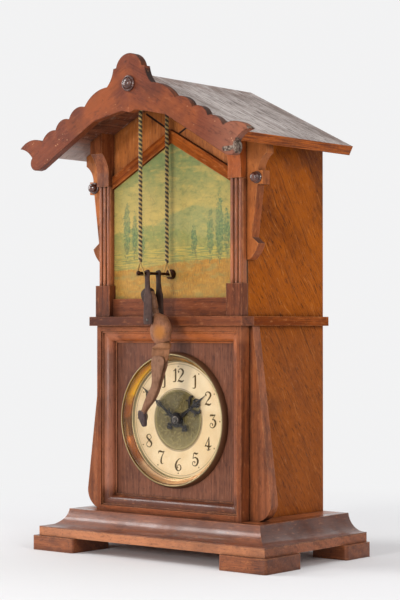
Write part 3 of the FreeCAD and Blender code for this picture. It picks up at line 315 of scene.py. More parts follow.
def pitched(slope):
    """Grain that follows each half of the gable down to its eave."""
    turn = math.atan(slope)

    def lay(f):
        x, y, z = f.axes()
        half = x.over(-0.1, 0.1)
        out = abs(x)
        along = out * math.cos(turn) - z * math.sin(turn) + half * 170
        across = out * math.sin(turn) + z * math.cos(turn) + half * 43
        return along, across, y

    return lay


class Wood:
    """A stained and waxed wood, kept open so that marks can be added before it is closed."""

    def __init__(self, name, light, dark, pore, lay, bands=5.0, lines=0.5, streaks=1.6, mottle=0.9,
                 pores=0.5, base=0.3, shift=0.0, coat=0.06, gloss=0.16, haze=0.26):
        f = Finish(name, {"Coat Roughness": haze, "Coat IOR": 1.45, "Specular IOR Level": gloss})
        self.finish = f
        self.coat = coat
        self.along, across, deep = lay(f)
        self.across, self.deep = across, deep
        along = self.along + shift
        drift = f.noise(f.vector(along / 95, across / 15, deep / 15), 1, 3, 0.5)
        sway = f.noise(f.vector(along / 34, across / 7, deep / 7), 1, 2, 0.5)
        rings = (across * 0.85 + deep * 0.5) * (TURN / bands) + drift * 13 + sway * 3
        rings = rings.sine() * 0.5 + 0.5
        fibre = f.noise(f.vector(along / 32, across / 0.7, deep / 0.7), 1, 4, 0.6)
        fine = f.noise(f.vector(along / 6, across / 0.3, deep / 0.3), 1, 1.5, 0.5)
        holes = fine.over(0.585, 0.72)
        cloud = f.noise(f.vector(along / 60, across / 26, deep / 26), 1, 3, 0.55)
        tone = rings ** 1.6 * lines + (fibre - 0.5) * streaks + (cloud - 0.5) * mottle + base
        self.colour = f.mix(tone.least(1.0).most(0.0), light, dark)
        self.colour = f.mix(holes * pores, self.colour, pore)
        self.rough = 0.4 + (fibre - 0.5) * 0.35 + holes * 0.14
        self.height = fibre * 0.5 - holes * 0.5 - rings * 0.12

    def mark(self, where, colour, rough=0.0, depth=0.0):
        """A patch or line of another colour, rougher and deeper as given."""
        self.colour = self.finish.mix(where, self.colour, colour)
        if rough:
            self.rough = self.rough + where * rough
        if depth:
            self.height = self.height - where * depth

    def close(self, worn, wear, shade_in_corners, stain=(52, 29, 25), depth=0.1):
        """Rubbed edges, painted shade darkening the inner corners, and the surface itself."""
        # soil is the dark brown of the painted corner shade and of the specks.
        soil = (28, 15, 10)
        f = self.finish
        aged = f.noise(f.place(), 46, 4, 0.6).over(0.46, 0.68) * 0.42
        self.colour = f.mix(aged, self.colour, stain)
        scuffs = f.noise(f.vector(self.along / 7, self.across / 2.4, self.deep / 2.4), 1, 5, 0.68)
        self.colour = f.mix(scuffs.over(0.52, 0.7) * 0.5, self.colour, stain)
        self.colour = f.mix(scuffs.over(0.44, 0.3) * 0.3, self.colour, worn)
        patchy = f.noise(f.place(), 6.5, 4, 0.65).over(0.4, 0.62)
        rubbed = f.edges(1.2) * (patchy * 0.75 + 0.25) * wear
        self.colour = f.mix(rubbed, self.colour, worn)
        # Painted shade: inner corners darkened towards soil by ambient occlusion, broadly and then
        # tightly.
        corner_shade = f.corners(8.0) * shade_in_corners
        self.colour = f.mix(corner_shade, self.colour, soil)
        self.colour = f.mix(f.corners(2.4) * shade_in_corners * 0.7, self.colour, soil)
        specks = f.cells(f.place(), 5.0).over(0.13, 0.07)
        specks = specks * f.noise(f.place(), 19, 2).over(0.53, 0.66)
        self.colour = f.mix(specks * 0.5, self.colour, soil)
        f.feed("Base Color", self.colour)
        handled = f.noise(f.place(), 30, 3, 0.6)
        rough = self.rough + (handled - 0.5) * 0.3 + corner_shade * 0.25
        f.feed("Roughness", rough.least(0.9).most(0.16))
        polish = (0.5 - (handled - 0.5) * 1.6) * self.coat * 2 - corner_shade * 0.3
        f.feed("Coat Weight", polish.least(1.0).most(0.0))
        f.relief(self.height, depth, 0.7)
        return f.material


# Heights and sides where painted light and shade go on the front frame's top rail and on its moulding.
TOP_RAIL = (164, 170)
MOULDING_TOP = (156, 166)
MOULDING_FOOT = (44, 56)
MOULDING_LEFT = (-48, -56)
WALNUT = dict(light=(142, 76, 42), dark=(76, 34, 15), pore=(32, 14, 6))
CHESTNUT = dict(light=(172, 99, 58), dark=(110, 56, 28), pore=(50, 24, 11))
OAK = dict(light=(180, 94, 12), dark=(114, 51, 3), pore=(52, 22, 3))


def panel_wood():
    """The dial panel: fine upright lines on a purple-brown ground."""
    wood = Wood("dial_panel_walnut", (132, 81, 58), (76, 41, 27), (38, 18, 11), upright,
                bands=3.4, lines=0.15, streaks=2.0, mottle=1.4, pores=0.6, base=0.32, shift=17, coat=0.1)
    return wood.close((164, 116, 92), wear=0.4, shade_in_corners=0.6)


def case_wood(name, lay, shift, base, streaks=1.5, coat=0.1, shade=0.0, glow=0.0):
    """Walnut of the case, darker to the left by shade, and lighter on the front's top rail by glow, a
    painted light where the shelf shades it.
    """
    wood = Wood(name, lay=lay, bands=6.0, lines=streaks * 0.23, streaks=streaks, base=base,
                shift=shift, coat=coat, gloss=0.12, **WALNUT)
    x, y, z = wood.finish.axes()
    wood.mark(x.over(30, -60) * shade, (62, 30, 24))
    # Painted light: the top rail of the front frame lightened by glow.
    wood.mark(z.over(*TOP_RAIL) * glow, (182, 108, 66))
    return wood.close((190, 122, 78), wear=0.65, shade_in_corners=0.8)


def cove_wood():
    """The cove round the base: polished, with a painted pale sheen along its front and painted shade on
    its right side.
    """
    wood = Wood("cove_walnut", lay=mitred_base, bands=6.0, lines=0.18, streaks=1.0, base=0.5, shift=14,
                coat=0.72, gloss=0.16, haze=0.2, **WALNUT)
    nx, ny, nz = wood.finish.facing()
    # Painted sheen on the front-facing faces and painted shade on the right-facing faces.
    wood.mark(ny.over(-0.2, -0.6) * 0.2, (156, 110, 92))
    wood.mark(nx.over(0.2, 0.6) * 0.6, (66, 28, 10))
    return wood.close((190, 122, 78), wear=0.7, shade_in_corners=0.8)


def moulding_wood():
    """The moulding in the front frame: polished, orange above as painted light, dark at its foot as
    painted shade, and pale to the left as a painted highlight.
    """
    wood = Wood("moulding_walnut", lay=mitred_frame, bands=6.0, lines=0.2, streaks=0.8, base=0.2,
                shift=90, coat=0.42, gloss=0.1, haze=0.18, **WALNUT)
    x, y, z = wood.finish.axes()
    # Painted light on the top rail, painted shade along the foot and a painted highlight up the left
    # side.
    wood.mark(z.over(*MOULDING_TOP) * 0.7, (178, 96, 46))
    wood.mark(z.over(*MOULDING_FOOT[::-1]) * 0.8, (72, 34, 19))
    wood.mark(x.over(*MOULDING_LEFT) * z.over(*MOULDING_FOOT) * 0.42, (188, 126, 100))
    return wood.close((196, 124, 76), wear=0.7, shade_in_corners=0.85)


def warm_wood(name, shift, base=0.3, coat=0.25, glow=0.0):
    """Wood of the pilasters and lower wings, and of the corbels, where the right one is more orange."""
    wood = Wood(name, lay=upright, bands=6.0, lines=0.35, streaks=1.4, base=base, shift=shift,
                coat=coat, gloss=0.14, **CHESTNUT)
    x = wood.finish.axes()[0]
    wood.mark(x.over(20, 60) * glow, (176, 86, 28))
    return wood.close((204, 134, 82), wear=0.65, shade_in_corners=0.8)


def side_wood():
    """The case sides: orange-brown oak with slanting dark flecks and long streaks."""
    wood = Wood("side_oak", lay=slanting, bands=16.0, lines=0.12, streaks=0.7, mottle=0.9, pores=0.45,
                base=0.34, coat=0.04, gloss=0.05, **OAK)
    f = wood.finish
    x, y, z = f.axes()
    down, over = wood.along, wood.across
    bend = f.noise(f.place(), 40, 2) * 9
    dash = f.noise(f.vector(down / 9, (over + bend) / 1.0, x), 1, 2, 0.5).over(0.57, 0.66)
    zone = f.noise(f.vector(down / 60, over / 18, x), 1, 2).over(0.36, 0.56)
    wood.mark(dash * (zone * 0.65 + 0.12), (52, 24, 7), 0.1, 0.3)
    vein = f.noise(f.vector(down / 90, (over + bend) / 3.4, x), 1, 3, 0.55).over(0.6, 0.67)
    wood.mark(vein * 0.5, (66, 30, 8))
    pale = f.noise(f.vector(down / 26, (over + bend * 1.6) / 1.6, x + 31), 1, 3).over(0.6, 0.7)
    wood.mark(pale * 0.45, (210, 132, 60))
    wood.mark(z.over(200, 150) * 0.35, (122, 70, 42))
    return wood.close((196, 132, 82), wear=0.5, shade_in_corners=0.6)


CHIPS = ((105.0, 307.3, 5.2, 6.0), (95.0, 306.8, 6.0, 2.0), (115.6, 321.3, 3.2, 1.8))


def barge_wood():
    """The scalloped barge board: reddish, rubbed in spots, with a bruised right tail."""
    wood = Wood("barge_board_wood", (122, 62, 40), (80, 36, 22), (42, 20, 12), pitched(ROOF_SLOPE),
                bands=11, lines=0.12, streaks=1.3, mottle=1.2, base=0.26, shift=40, coat=0.04, gloss=0.1)
    f = wood.finish
    x, y, z = f.axes()
    top_edge = f.facing()[2].over(0.12, 0.3)
    wood.mark(top_edge * 0.95, (38, 26, 22), 0.3)
    dents = f.cells(f.place(), 3.4).over(0.16, 0.1) * f.noise(f.place(), 14, 2).over(0.52, 0.6)
    wood.mark(dents * 0.75, (206, 158, 116), 0.1, 0.4)
    warm = f.noise(f.place(), 30, 3, 0.5).over(0.45, 0.65) * z.over(300, 335)
    wood.mark(warm * 0.55, (156, 80, 36))
    wood.mark(x.over(66, 104) * 0.3, (172, 122, 100))
    crumbs = f.noise(f.place(), 1.9, 4, 0.7)
    ragged = f.noise(f.place(), 5.0, 4, 0.7) - 0.5
    for chip_x, chip_z, wide, high in CHIPS:
        far = apart((x - chip_x) / wide, (z - chip_z) / high)
        chip = (far + ragged * 1.5 + (crumbs - 0.5) * 0.6).over(1.1, 0.85)
        bare = f.mix(crumbs.over(0.4, 0.62), (48, 37, 31), (142, 129, 115))
        wood.mark(chip * 0.9, bare, 0.3, 0.5)
    nick = f.noise(f.place(), 2.4, 4, 0.7)
    wood.mark(f.edges(1.4) * nick.over(0.36, 0.5) * 0.85, (44, 24, 18), 0.1, 0.6)
    wood.mark(nick.over(0.62, 0.72) * 0.35, (84, 44, 30), 0.1, 0.4)
    return wood.close((164, 98, 64), wear=0.2, shade_in_corners=0.5)


def orange_wood(name, lay, shift, base):
    """The gable trims and the belt strips: orange-brown and dull."""
    wood = Wood(name, (184, 98, 38), (116, 52, 12), (58, 27, 9), lay,
                bands=6, lines=0.35, streaks=1.5, base=base, shift=shift, coat=0.02, gloss=0.04)
    return wood.close((208, 138, 82), wear=0.6, shade_in_corners=0.75)


def base_wood(name, shift, bands, base, rubbed):
    """The base board and feet: knocked and chipped along their edges, with dark pits, painted light on
    their front faces and painted shade on their right faces.
    """
    wood = Wood(name, lay=level, bands=bands, lines=0.35, streaks=1.5, base=base, shift=shift,
                coat=0.3, gloss=0.22, **CHESTNUT)
    f = wood.finish
    knocks = f.noise(f.place(), 3.0, 5, 0.7)
    wood.mark(f.edges(2.4) * knocks.over(0.5, 0.6) * 0.85, (50, 27, 16), 0.1, 0.5)
    wood.mark(f.edges(1.8) * knocks.over(0.46, 0.38) * 0.7, (214, 150, 98), 0.1, 0.3)
    nx, ny, nz = f.facing()
    # Painted light: front-facing faces lightened by rubbed. Painted shade: right-facing faces darkened.
    wood.mark(ny.over(-0.5, -0.8) * rubbed, (196, 132, 92))
    wood.mark(nx.over(0.5, 0.8) * 0.3, (92, 50, 30))
    pits = f.noise(f.place(), 1.6, 4, 0.7).over(0.58, 0.66)
    wood.mark(pits * 0.7, (52, 27, 15), 0.1, 0.4)
    return wood.close((204, 134, 82), wear=0.4, shade_in_corners=0.7)


def wing_wood():
    """The upper wings: pale on their fronts and towards the top as painted light, redder on their sides,
    dusty on their ledges, and darkened on their lower barbs as painted shade.
    """
    wood = Wood("upper_wing_wood", (172, 92, 44), (112, 52, 22), (58, 27, 9), upright,
                bands=6, lines=0.3, streaks=1.2, base=0.28, shift=55, coat=0.08, gloss=0.08)
    f = wood.finish
    x, y, z = f.axes()
    nx, ny, nz = f.facing()
    # Painted light: front faces paler, and paler again towards the top.
    wood.mark(ny.over(-0.5, -0.8) * 0.5, (194, 114, 58))
    wood.mark(z.over(268, 300) * 0.3, (206, 130, 72))
    wood.mark(nz.over(0.4, 0.7) * 0.4, (150, 118, 104))
    # Painted shade: the barbs' upward faces and the left wing's barb darkened.
    barb = z.over(262, 258)
    wood.mark(barb * (nz.over(0.2, 0.5) * 0.6).most(x.over(-60, -75) * 0.5), (54, 33, 28), 0.1)
    return wood.close((208, 138, 82), wear=0.6, shade_in_corners=0.75)


# Two dark joints between the gable's boards, then a painted shadow line along the top edge of the right
# trim.
JOINTS_AND_SHADOW_LINE = (((-27.0, 346.0), (0.0, 329.5)), ((5.8, 327.4), (19.0, 334.6)), ((2.0, 329.9), (58.0, 298.8)))


def gable_wood():
    """The gable board: orange-brown, with two dark joints across it and a painted shadow line above the
    right trim.
    """
    wood = Wood("gable_board_wood", (178, 104, 50), (118, 63, 27), (66, 34, 15), upright,
                bands=7, lines=0.25, streaks=1.6, base=0.24, shift=9, coat=0.1)
    f = wood.finish
    x, y, z = f.axes()
    # Each line is darkened and sunk; the last one is painted shade.
    for start, stop in JOINTS_AND_SHADOW_LINE:
        run = math.hypot(stop[0] - start[0], stop[1] - start[1])
        ux, uz = (stop[0] - start[0]) / run, (stop[1] - start[1]) / run
        along = (x - start[0]) * ux + (z - start[1]) * uz
        aside = abs((x - start[0]) * uz - (z - start[1]) * ux)
        cut = aside.over(0.95, 0.6) * along.over(-0.5, 0.5) * along.over(run + 0.5, run - 0.5)
        wood.mark(cut, (20, 12, 8), 0.3, 2.0)
    return wood.close((206, 146, 96), wear=0.4, shade_in_corners=0.65)


def roof_wood():
    """The roof boards: grey and weathered down their slopes, brown at their sawn edges and below, with
    painted light paling the undersides towards their outer ends.
    """
    wood = Wood("roof_board_wood", (194, 183, 177), (132, 118, 112), (66, 56, 50),
                pitched(ROOF_SLOPE), bands=13, lines=0.25, streaks=2.4, mottle=1.6, base=0.22,
                coat=0.0, gloss=0.1)
    f = wood.finish
    x, y, z = f.axes()
    nz = f.facing()[2]
    wood.rough = wood.rough + nz.over(0.3, 0.6) * 0.28
    streak = f.noise(f.vector(wood.along / 55, y / 2.4, 0.0), 1, 5, 0.7)
    wood.mark(streak.over(0.53, 0.63) * 0.8, (92, 80, 74))
    wood.mark(streak.over(0.46, 0.35) * 0.75, (228, 222, 218))
    dash = f.noise(f.vector(wood.along / 13, y / 2.0, 3.0), 1, 3, 0.6).over(0.56, 0.61)
    wood.mark(dash * 0.75, (72, 60, 55), 0.1, 0.4)
    dull = y.over(50, 78).most(abs(x).over(26, 6)) * f.noise(f.place(), 12, 3).over(0.35, 0.6)
    wood.mark(dull * 0.55, (122, 94, 82))
    brown = abs(nz).over(0.75, 0.6)
    grain = f.noise(f.vector(y / 30, z / 0.8, x / 9), 1, 3).over(0.4, 0.65)
    wood.mark(brown, f.mix(grain, (176, 90, 26), (112, 50, 10)), -0.05)
    under = nz.over(-0.6, -0.8)
    wood.mark(under, f.mix(grain, (116, 66, 44), (74, 39, 25)))
    # Painted light: the underside pales towards its outer ends.
    wood.mark(under * abs(x).over(66, 100) * 0.75, (214, 196, 188))
    worn = f.mix(brown, (206, 190, 178), (190, 108, 48))
    stain = f.mix(brown, (96, 82, 74), (84, 40, 14))
    return wood.close(worn, wear=0.25, shade_in_corners=0.3, stain=stain, depth=0.16)


def back_wood(name, lay, shift):
    """The door and the board above it: plain brown with broad bands."""
    wood = Wood(name, (156, 98, 58), (104, 58, 30), (60, 32, 16), lay,
                bands=8, lines=0.5, streaks=1.5, base=0.28, shift=shift, coat=0.03)
    return wood.close((190, 134, 92), wear=0.4, shade_in_corners=0.5)


def button_wood():
    """The turned buttons: dark lacquer, a little worn, with painted shade in their corners."""
    f = Finish("button_lacquer", {"Coat Weight": 0.8, "Coat Roughness": 0.1, "Specular IOR Level": 0.25})
    worn = f.noise(f.place(), 3.0, 3, 0.5)
    colour = f.mix(worn.over(0.45, 0.7), (66, 34, 25), (96, 54, 40))
    # Painted shade: corners darkened by ambient occlusion.
    f.feed("Base Color", f.mix(f.corners(2.0) * 0.8, colour, (24, 13, 10)))
    f.feed("Roughness", 0.2 + worn * 0.14)
    f.relief(worn, 0.02)
    return f.material


def metal(name, bright, dull, rough, dark=(40, 26, 14), stain=0.6):
    """A metal with tarnish in clouds, fine scratches, and painted shade darkening its corners."""
    f = Finish(name, {"Metallic": 1.0})
    cloud = f.noise(f.place(), 9, 4, 0.6)
    spots = f.noise(f.place(), 1.3, 3, 0.6)
    colour = f.mix(cloud.over(0.35, 0.68) * stain, bright, dull)
    colour = f.mix(spots.over(0.6, 0.74) * stain * 0.8, colour, dark)
    # Painted shade: corners darkened towards dark by ambient occlusion.
    corner_shade = f.corners(2.5) * 0.5
    f.feed("Base Color", f.mix(corner_shade, colour, dark))
    lines = f.noise(f.place(), 0.35, 2, 0.5)
    rough = rough + (lines - 0.5) * 0.22 + (cloud - 0.5) * 0.3 + corner_shade * 0.3
    f.feed("Roughness", rough.least(0.95).most(0.08))
    f.relief(lines * 0.6 + spots * 0.4, 0.02, 0.25)
    return f.material


def bezel_brass():
    """The bezel: pale on its rolled rim and bead, painted gold and copper reflections inside, painted
    shade and dark reflection on its outer wall, and painted shade in its corners.
    """
    f = Finish("bezel_brass")
    x, y, z = f.axes()
    up = z - DIAL_Z
    radius = apart(x, up)
    nx, ny, nz = f.facing()
    outer = ((nx * x + nz * up) / radius).over(0.45, 0.8)
    bead = radius.over(CONE_FOOT + 1.2, CONE_FOOT + 0.9)
    pale = radius.over(CONE_TOP - 0.1, CONE_TOP + 0.1).most(bead)
    sweep = f.noise(f.vector(x / 15, up / 15, 3.0), 1, 3, 0.5)
    lines = f.noise(f.vector(radius / 0.16, y / 0.16, 0.0), 1, 2, 0.5)
    # Painted reflections: the inner wall's gold, copper and pale bands follow the height round the dial,
    # with a painted shadow band near the top.
    tilt = up / BEZEL_RIM + (sweep - 0.5) * 0.8
    gold = f.mix(tilt.over(0.2, 0.4), (166, 94, 40), (250, 182, 32))
    gold = f.mix(tilt.over(0.1, 0.0) * tilt.over(-0.3, -0.15), gold, (118, 76, 34))
    gold = f.mix(tilt.over(-0.55, -0.75), gold, (226, 182, 134))
    gold = f.mix(tilt.over(0.7, 0.9) * 0.8, gold, (124, 98, 46))
    colour = f.mix(pale, gold, (158, 144, 106))
    inner_groove = abs(radius - CONE_FOOT - 1.5).over(0.4, 0.2)
    grooves = abs(radius - CONE_TOP + 0.35).over(0.4, 0.2).most(inner_groove)
    colour = f.mix(grooves * 0.75, colour, (72, 48, 26))
    # Painted shade and dark reflection: the outward-facing wall turns dark brown.
    colour = f.mix(outer, colour, (92, 56, 30))
    spots = f.noise(f.place(), 1.2, 3, 0.6).over(0.58, 0.74)
    colour = f.mix(spots * 0.5, colour, (96, 64, 34))
    # Painted shade: corners darkened by ambient occlusion.
    corner_shade = f.corners(2.5) * 0.6
    f.feed("Base Color", f.mix(corner_shade, colour, (42, 27, 15)))
    f.feed("Metallic", 1 - outer * 0.7)
    rough = 0.3 + pale * 0.14 + (lines - 0.5) * 0.2 + outer * 0.15 + spots * 0.2 + corner_shade * 0.3
    f.feed("Roughness", rough.most(0.1))
    f.relief(lines * 0.6 + spots * 0.4, 0.02, 0.3)
    return f.material


OUTER_LINE = 43.5
INNER_LINE = 24.3


def dial_lacquer():
    """The hour ring: champagne lacquer, faintly spun, with its fine border lines, a painted highlight
    towards one o'clock and painted shade towards four o'clock.
    """
    f = Finish("dial_lacquer", {"Metallic": 0.12, "Coat Weight": 0.12, "Coat Roughness": 0.3})
    x, y, z = f.axes()
    up = z - DIAL_Z
    radius = apart(x, up)
    age = f.noise(f.place(), 16, 4, 0.6)
    colour = f.mix(age.over(0.3, 0.72), (232, 207, 165), (217, 187, 140))
    colour = f.mix(radius.over(40, 45.4) * 0.35, colour, (196, 164, 112))
    # Painted highlight towards one o'clock and painted shade towards four o'clock.
    colour = f.mix(((x * 0.4 + up * 0.92) / radius).over(0.82, 1.0) * 0.2, colour, (250, 240, 214))
    colour = f.mix(((x * 0.92 - up * 0.4) / radius).over(0.8, 1.0) * 0.35, colour, (222, 186, 128))
    fox = f.noise(f.place(), 1.1, 4, 0.7).over(0.62, 0.74) * f.noise(f.place(), 8, 2).over(0.46, 0.62)
    colour = f.mix(fox * 0.4, colour, (162, 124, 78))
    border = abs(radius - OUTER_LINE).over(0.28, 0.14) + abs(radius - INNER_LINE).over(0.5, 0.3)
    colour = f.mix(border.least(1.0) * 0.75, colour, (112, 88, 54))
    f.feed("Base Color", colour)
    spin = f.noise(f.vector(radius / 0.22, 0.0, 0.0), 1, 2)
    f.feed("Roughness", 0.4 + (spin - 0.5) * 0.2 + fox * 0.2)
    f.relief(spin * 0.5 - border, 0.02)
    return f.material


def chased_brass():
    """The dial centre: olive-toned brass, dark in its ground and rubbed bright on the high parts, with
    painted shade above and painted light below.
    """
    f = Finish("chased_brass", {"Metallic": 0.75})
    x, y, z = f.axes()
    raised = (CENTRE_FACE + 0.12 - y).over(0.0, 0.3)
    grain = f.noise(f.place(), 0.55, 3, 0.7)
    colour = f.mix(raised, (92, 80, 45), (142, 126, 80))
    colour = f.mix((grain - 0.4).most(0.0) * 0.9, colour, (132, 116, 72))
    cloud = f.noise(f.place(), 7, 3)
    colour = f.mix(cloud.over(0.5, 0.7) * 0.35, colour, (120, 112, 80))
    # Painted shade darkens the upper part and painted light lightens the lower part.
    colour = f.mix((z - DIAL_Z).over(2, 24) * 0.4, colour, (92, 80, 46))
    colour = f.mix((z - DIAL_Z).over(-2, -24) * 0.35, colour, (168, 152, 105))
    f.feed("Base Color", colour)
    f.feed("Roughness", 0.5 - raised * 0.16 + (grain - 0.5) * 0.3)
    f.relief(grain, 0.12)
    return f.material


def black_enamel(name, base=(24, 20, 19), shine=(58, 50, 46), rough=0.42, gloss=0.16):
    """Black paint on metal, rubbed at its edges."""
    f = Finish(name, {"Specular IOR Level": gloss})
    worn = f.noise(f.place(), 1.6, 4, 0.65)
    colour = f.mix(worn.over(0.5, 0.72), base, shine)
    f.feed("Base Color", f.mix(f.edges(0.15) * 0.5, colour, (78, 64, 46)))
    f.feed("Roughness", rough + (worn - 0.5) * 0.4)
    f.relief(worn, 0.03)
    return f.material


def window_glass():
    """The bezel's glass: clear, with a smeared gloss."""
    f = Finish("dial_glass")
    clear = f.node("ShaderNodeBsdfTransparent", {}, {"Color": (0.995, 0.995, 0.99, 1)})
    gloss = f.node("ShaderNodeBsdfGlossy", {}, {"Roughness": 0.04})
    smear = f.noise(f.place(), 24, 3, 0.6)
    share = f.node("ShaderNodeFresnel", {}, {"IOR": 1.42}) * (0.12 + smear * 0.25)
    both = f.node("ShaderNodeMixShader", {}, {0: share, 1: clear, 2: gloss})
    f.links.new(both.socket, f.nodes["Material Output"].inputs["Surface"])
    return f.material


POPLARS = ((-47, 232, 44, 3.4), (-39, 233, 34, 2.8), (-31, 231, 26, 2.6),
           (22, 234, 22, 3.0), (38, 230, 38, 3.2), (47, 229, 50, 3.8), (54, 231, 36, 3.0))


def painted_scene():
    """The niche's back: an old oil-painted view of low hills over a lake, with poplars and a field."""
    f = Finish("painted_niche", {"Specular IOR Level": 0.14})
    x, y, z = f.axes()
    brush = f.noise(f.vector(x / 7, z / 2.2, y), 1, 4, 0.6)
    dab = f.noise(f.vector(x / 1.6, z / 2.6, y), 1, 3, 0.6)
    wobble = (f.noise(f.vector(x / 9, 0.0, 3.0), 1, 3) - 0.5) * 5
    loose = f.noise(f.vector(x / 4, z / 3, 9.0), 1, 4, 0.65) - 0.5
    sky = f.mix((z + brush * 12).over(256, 322), (198, 162, 80), (116, 128, 72))
    cloud = f.noise(f.vector(x / 26, z / 8, 5.0), 1, 4, 0.55).over(0.5, 0.66)
    colour = f.mix(cloud * 0.6, sky, (206, 168, 84))
    far_hills = 262 + (x / 19 + 0.6).sine() * 7 + (x / 47).sine() * 6 + wobble
    hill = (z - far_hills + loose * 9).over(1.8, -1.8)
    colour = f.mix(hill * 0.85, colour, f.mix(dab, (158, 148, 82), (122, 130, 80)))
    near_hills = 250 + (x / 27 + 2.4).sine() * 8 + wobble * 0.6
    hill = (z - near_hills + loose * 8).over(1.4, -1.4)
    colour = f.mix(hill * 0.9, colour, f.mix(dab, (156, 146, 74), (112, 122, 66)))
    shore = 238 + (x / 33 + 1.1).sine() * 2.2
    lake = (z - shore).over(0.5, -0.5)
    ripple = f.noise(f.vector(x / 13, z / 0.9, 8.0), 1, 2).over(0.4, 0.62)
    colour = f.mix(lake * 0.95, colour, f.mix(ripple, (112, 128, 72), (184, 162, 74)))
    bank = 226 + (x / 41 + 0.4).sine() * 4 + wobble * 0.7
    field = (z - bank + (dab - 0.5) * 4).over(0.8, -0.8)
    blades = f.noise(f.vector(x / 0.8, z / 4.5, 2.0), 1, 3, 0.6)
    meadow = f.mix(blades.over(0.35, 0.68), (184, 124, 34), (140, 90, 20))
    greener = f.noise(f.vector(x / 12, z / 5, 1.0), 1, 3).over(0.5, 0.66)
    meadow = f.mix(greener * 0.6, meadow, (132, 128, 70))
    colour = f.mix(field, colour, meadow)
    for tree_x, foot, height, girth in POPLARS:
        rise = (z - foot - height / 2) / (height / 2)
        reach = apart((x - tree_x) / girth, rise)
        tree = (reach + (dab - 0.5) * 1.2 + loose * 1.3).over(1.1, 0.8)
        leaves = f.mix(dab.over(0.35, 0.65), (60, 88, 62), (112, 128, 74))
        colour = f.mix(tree * 0.88, colour, leaves)
    stipple = f.noise(f.vector(x / 7, z / 4, 4.0), 1, 4, 0.65)
    colour = f.mix(stipple.over(0.5, 0.68) * 0.45, colour, (82, 98, 54))
    colour = f.mix(stipple.over(0.48, 0.32) * 0.4, colour, (208, 168, 80))
    yellowed = f.noise(f.place(), 34, 3, 0.6)
    colour = f.mix(yellowed.over(0.4, 0.72) * 0.35, colour, (190, 156, 86))
    crack = f.cells(f.vector(x + brush * 2, y, z + dab * 2), 7.5, "DISTANCE_TO_EDGE")
    crack = crack.over(0.03, 0.0)
    colour = f.mix(crack * 0.3, colour, (86, 74, 46))
    colour = f.mix(z.over(232, 262) * 0.25, colour, (124, 138, 102))
    colour = f.mix(z.over(252, 226) * 0.28, colour, (146, 116, 72))
    flyspeck = f.cells(f.place(), 3.7).over(0.1, 0.05)
    flyspeck = flyspeck * f.noise(f.place(), 15, 2).over(0.5, 0.62)
    colour = f.mix(flyspeck * 0.7, colour, (70, 56, 34))
    # Painted shade: the niche's corners darkened by ambient occlusion.
    colour = f.mix(f.corners(9) * 0.5, colour, (58, 44, 24))
    ny = f.facing()[1]
    colour = f.mix(ny.over(-0.7, -0.5), colour, (84, 50, 26))
    f.feed("Base Color", colour)
    f.feed("Roughness", 0.5 + (brush - 0.5) * 0.3)
    f.relief(brush * 0.5 + dab * 0.4 - crack * 0.4, 0.12)
    return f.material


def figure_paint(name, light, dark, line, wear=(200, 160, 118), blush=None):
    """Old paint on carved wood, thin on the high parts, with painted shade in its creases."""
    f = Finish(name, {"Specular IOR Level": 0.14})
    x, y, z = f.axes()
    cloud = f.noise(f.place(), 5.5, 4, 0.6)
    grain = f.noise(f.vector(x / 0.6, y / 0.6, z / 7), 1, 3, 0.6)
    colour = f.mix((cloud * 0.7 + grain * 0.4).over(0.38, 0.72), light, dark)
    if blush:
        middle_x, middle_z, reach, tint = blush
        far = apart(x - middle_x, z - middle_z) + (cloud - 0.5) * 6
        colour = f.mix(far.over(reach, reach * 0.35) * 0.7, colour, tint)
    fleck = f.noise(f.place(), 0.9, 3, 0.6).over(0.62, 0.74)
    colour = f.mix(fleck * 0.5, colour, line)
    colour = f.mix(f.edges(0.35) * 0.3, colour, wear)
    # Painted shade: creases and corners darkened to the line colour by ambient occlusion.
    colour = f.mix(f.corners(2.0) * 0.65, colour, line)
    f.feed("Base Color", colour)
    f.feed("Roughness", 0.55 + (cloud - 0.5) * 0.3)
    f.relief(grain * 0.6 + fleck * 0.4, 0.06, 0.3)
    return f.material


def cord_yarn(name, light, dark):
    """Twisted yarn: fine fibres along each strand with a dull sheen."""
    f = Finish(name, {"Sheen Weight": 0.25, "Sheen Roughness": 0.4})
    x, y, z = f.axes()
    fibre = f.noise(f.vector(x / 0.35, y / 0.35, z / 0.8), 1, 3, 0.6)
    soil = f.noise(f.place(), 11, 2)
    colour = f.mix(fibre.over(0.36, 0.64), dark, light)
    f.feed("Base Color", f.mix(soil.over(0.45, 0.7) * 0.4, colour, dark))
    f.feed("Roughness", 0.72 + (fibre - 0.5) * 0.3)
    f.relief(fibre, 0.2)
    return f.material


# Mesh helpers

def smooth_line(rows, steps):
    """A finer series of rows that flows through the given ones."""
    rows = [np.array(row, float) for row in rows]
    ends = [2 * rows[0] - rows[1]] + rows + [2 * rows[-1] - rows[-2]]
    line = []
    for a, b, c, d in zip(ends, ends[1:], ends[2:], ends[3:]):
        for i in range(steps):
            t = i / steps
            line.append((2 * b + (c - a) * t + (2 * a - 5 * b + 4 * c - d) * t ** 2
                         + (3 * b - a - 3 * c + d) * t ** 3) / 2)
    line.append(rows[-1])
    return line


def loft(bm, rings, skin=0, cap=True):
    """Faces between rings of points, with the first and last ring filled where cap is set."""
    loops = [[bm.verts.new(Vector(p) * MM) for p in ring] for ring in rings]
    count = len(rings[0])
    faces = []
    for low, high in zip(loops, loops[1:]):
        for i in range(count):
            j = (i + 1) % count
            faces.append(bm.faces.new((low[i], low[j], high[j], high[i])))
    if cap:
        faces.append(bm.faces.new(loops[0][::-1]))
        faces.append(bm.faces.new(loops[-1]))
    for face in faces:
        face.material_index = skin
    return faces


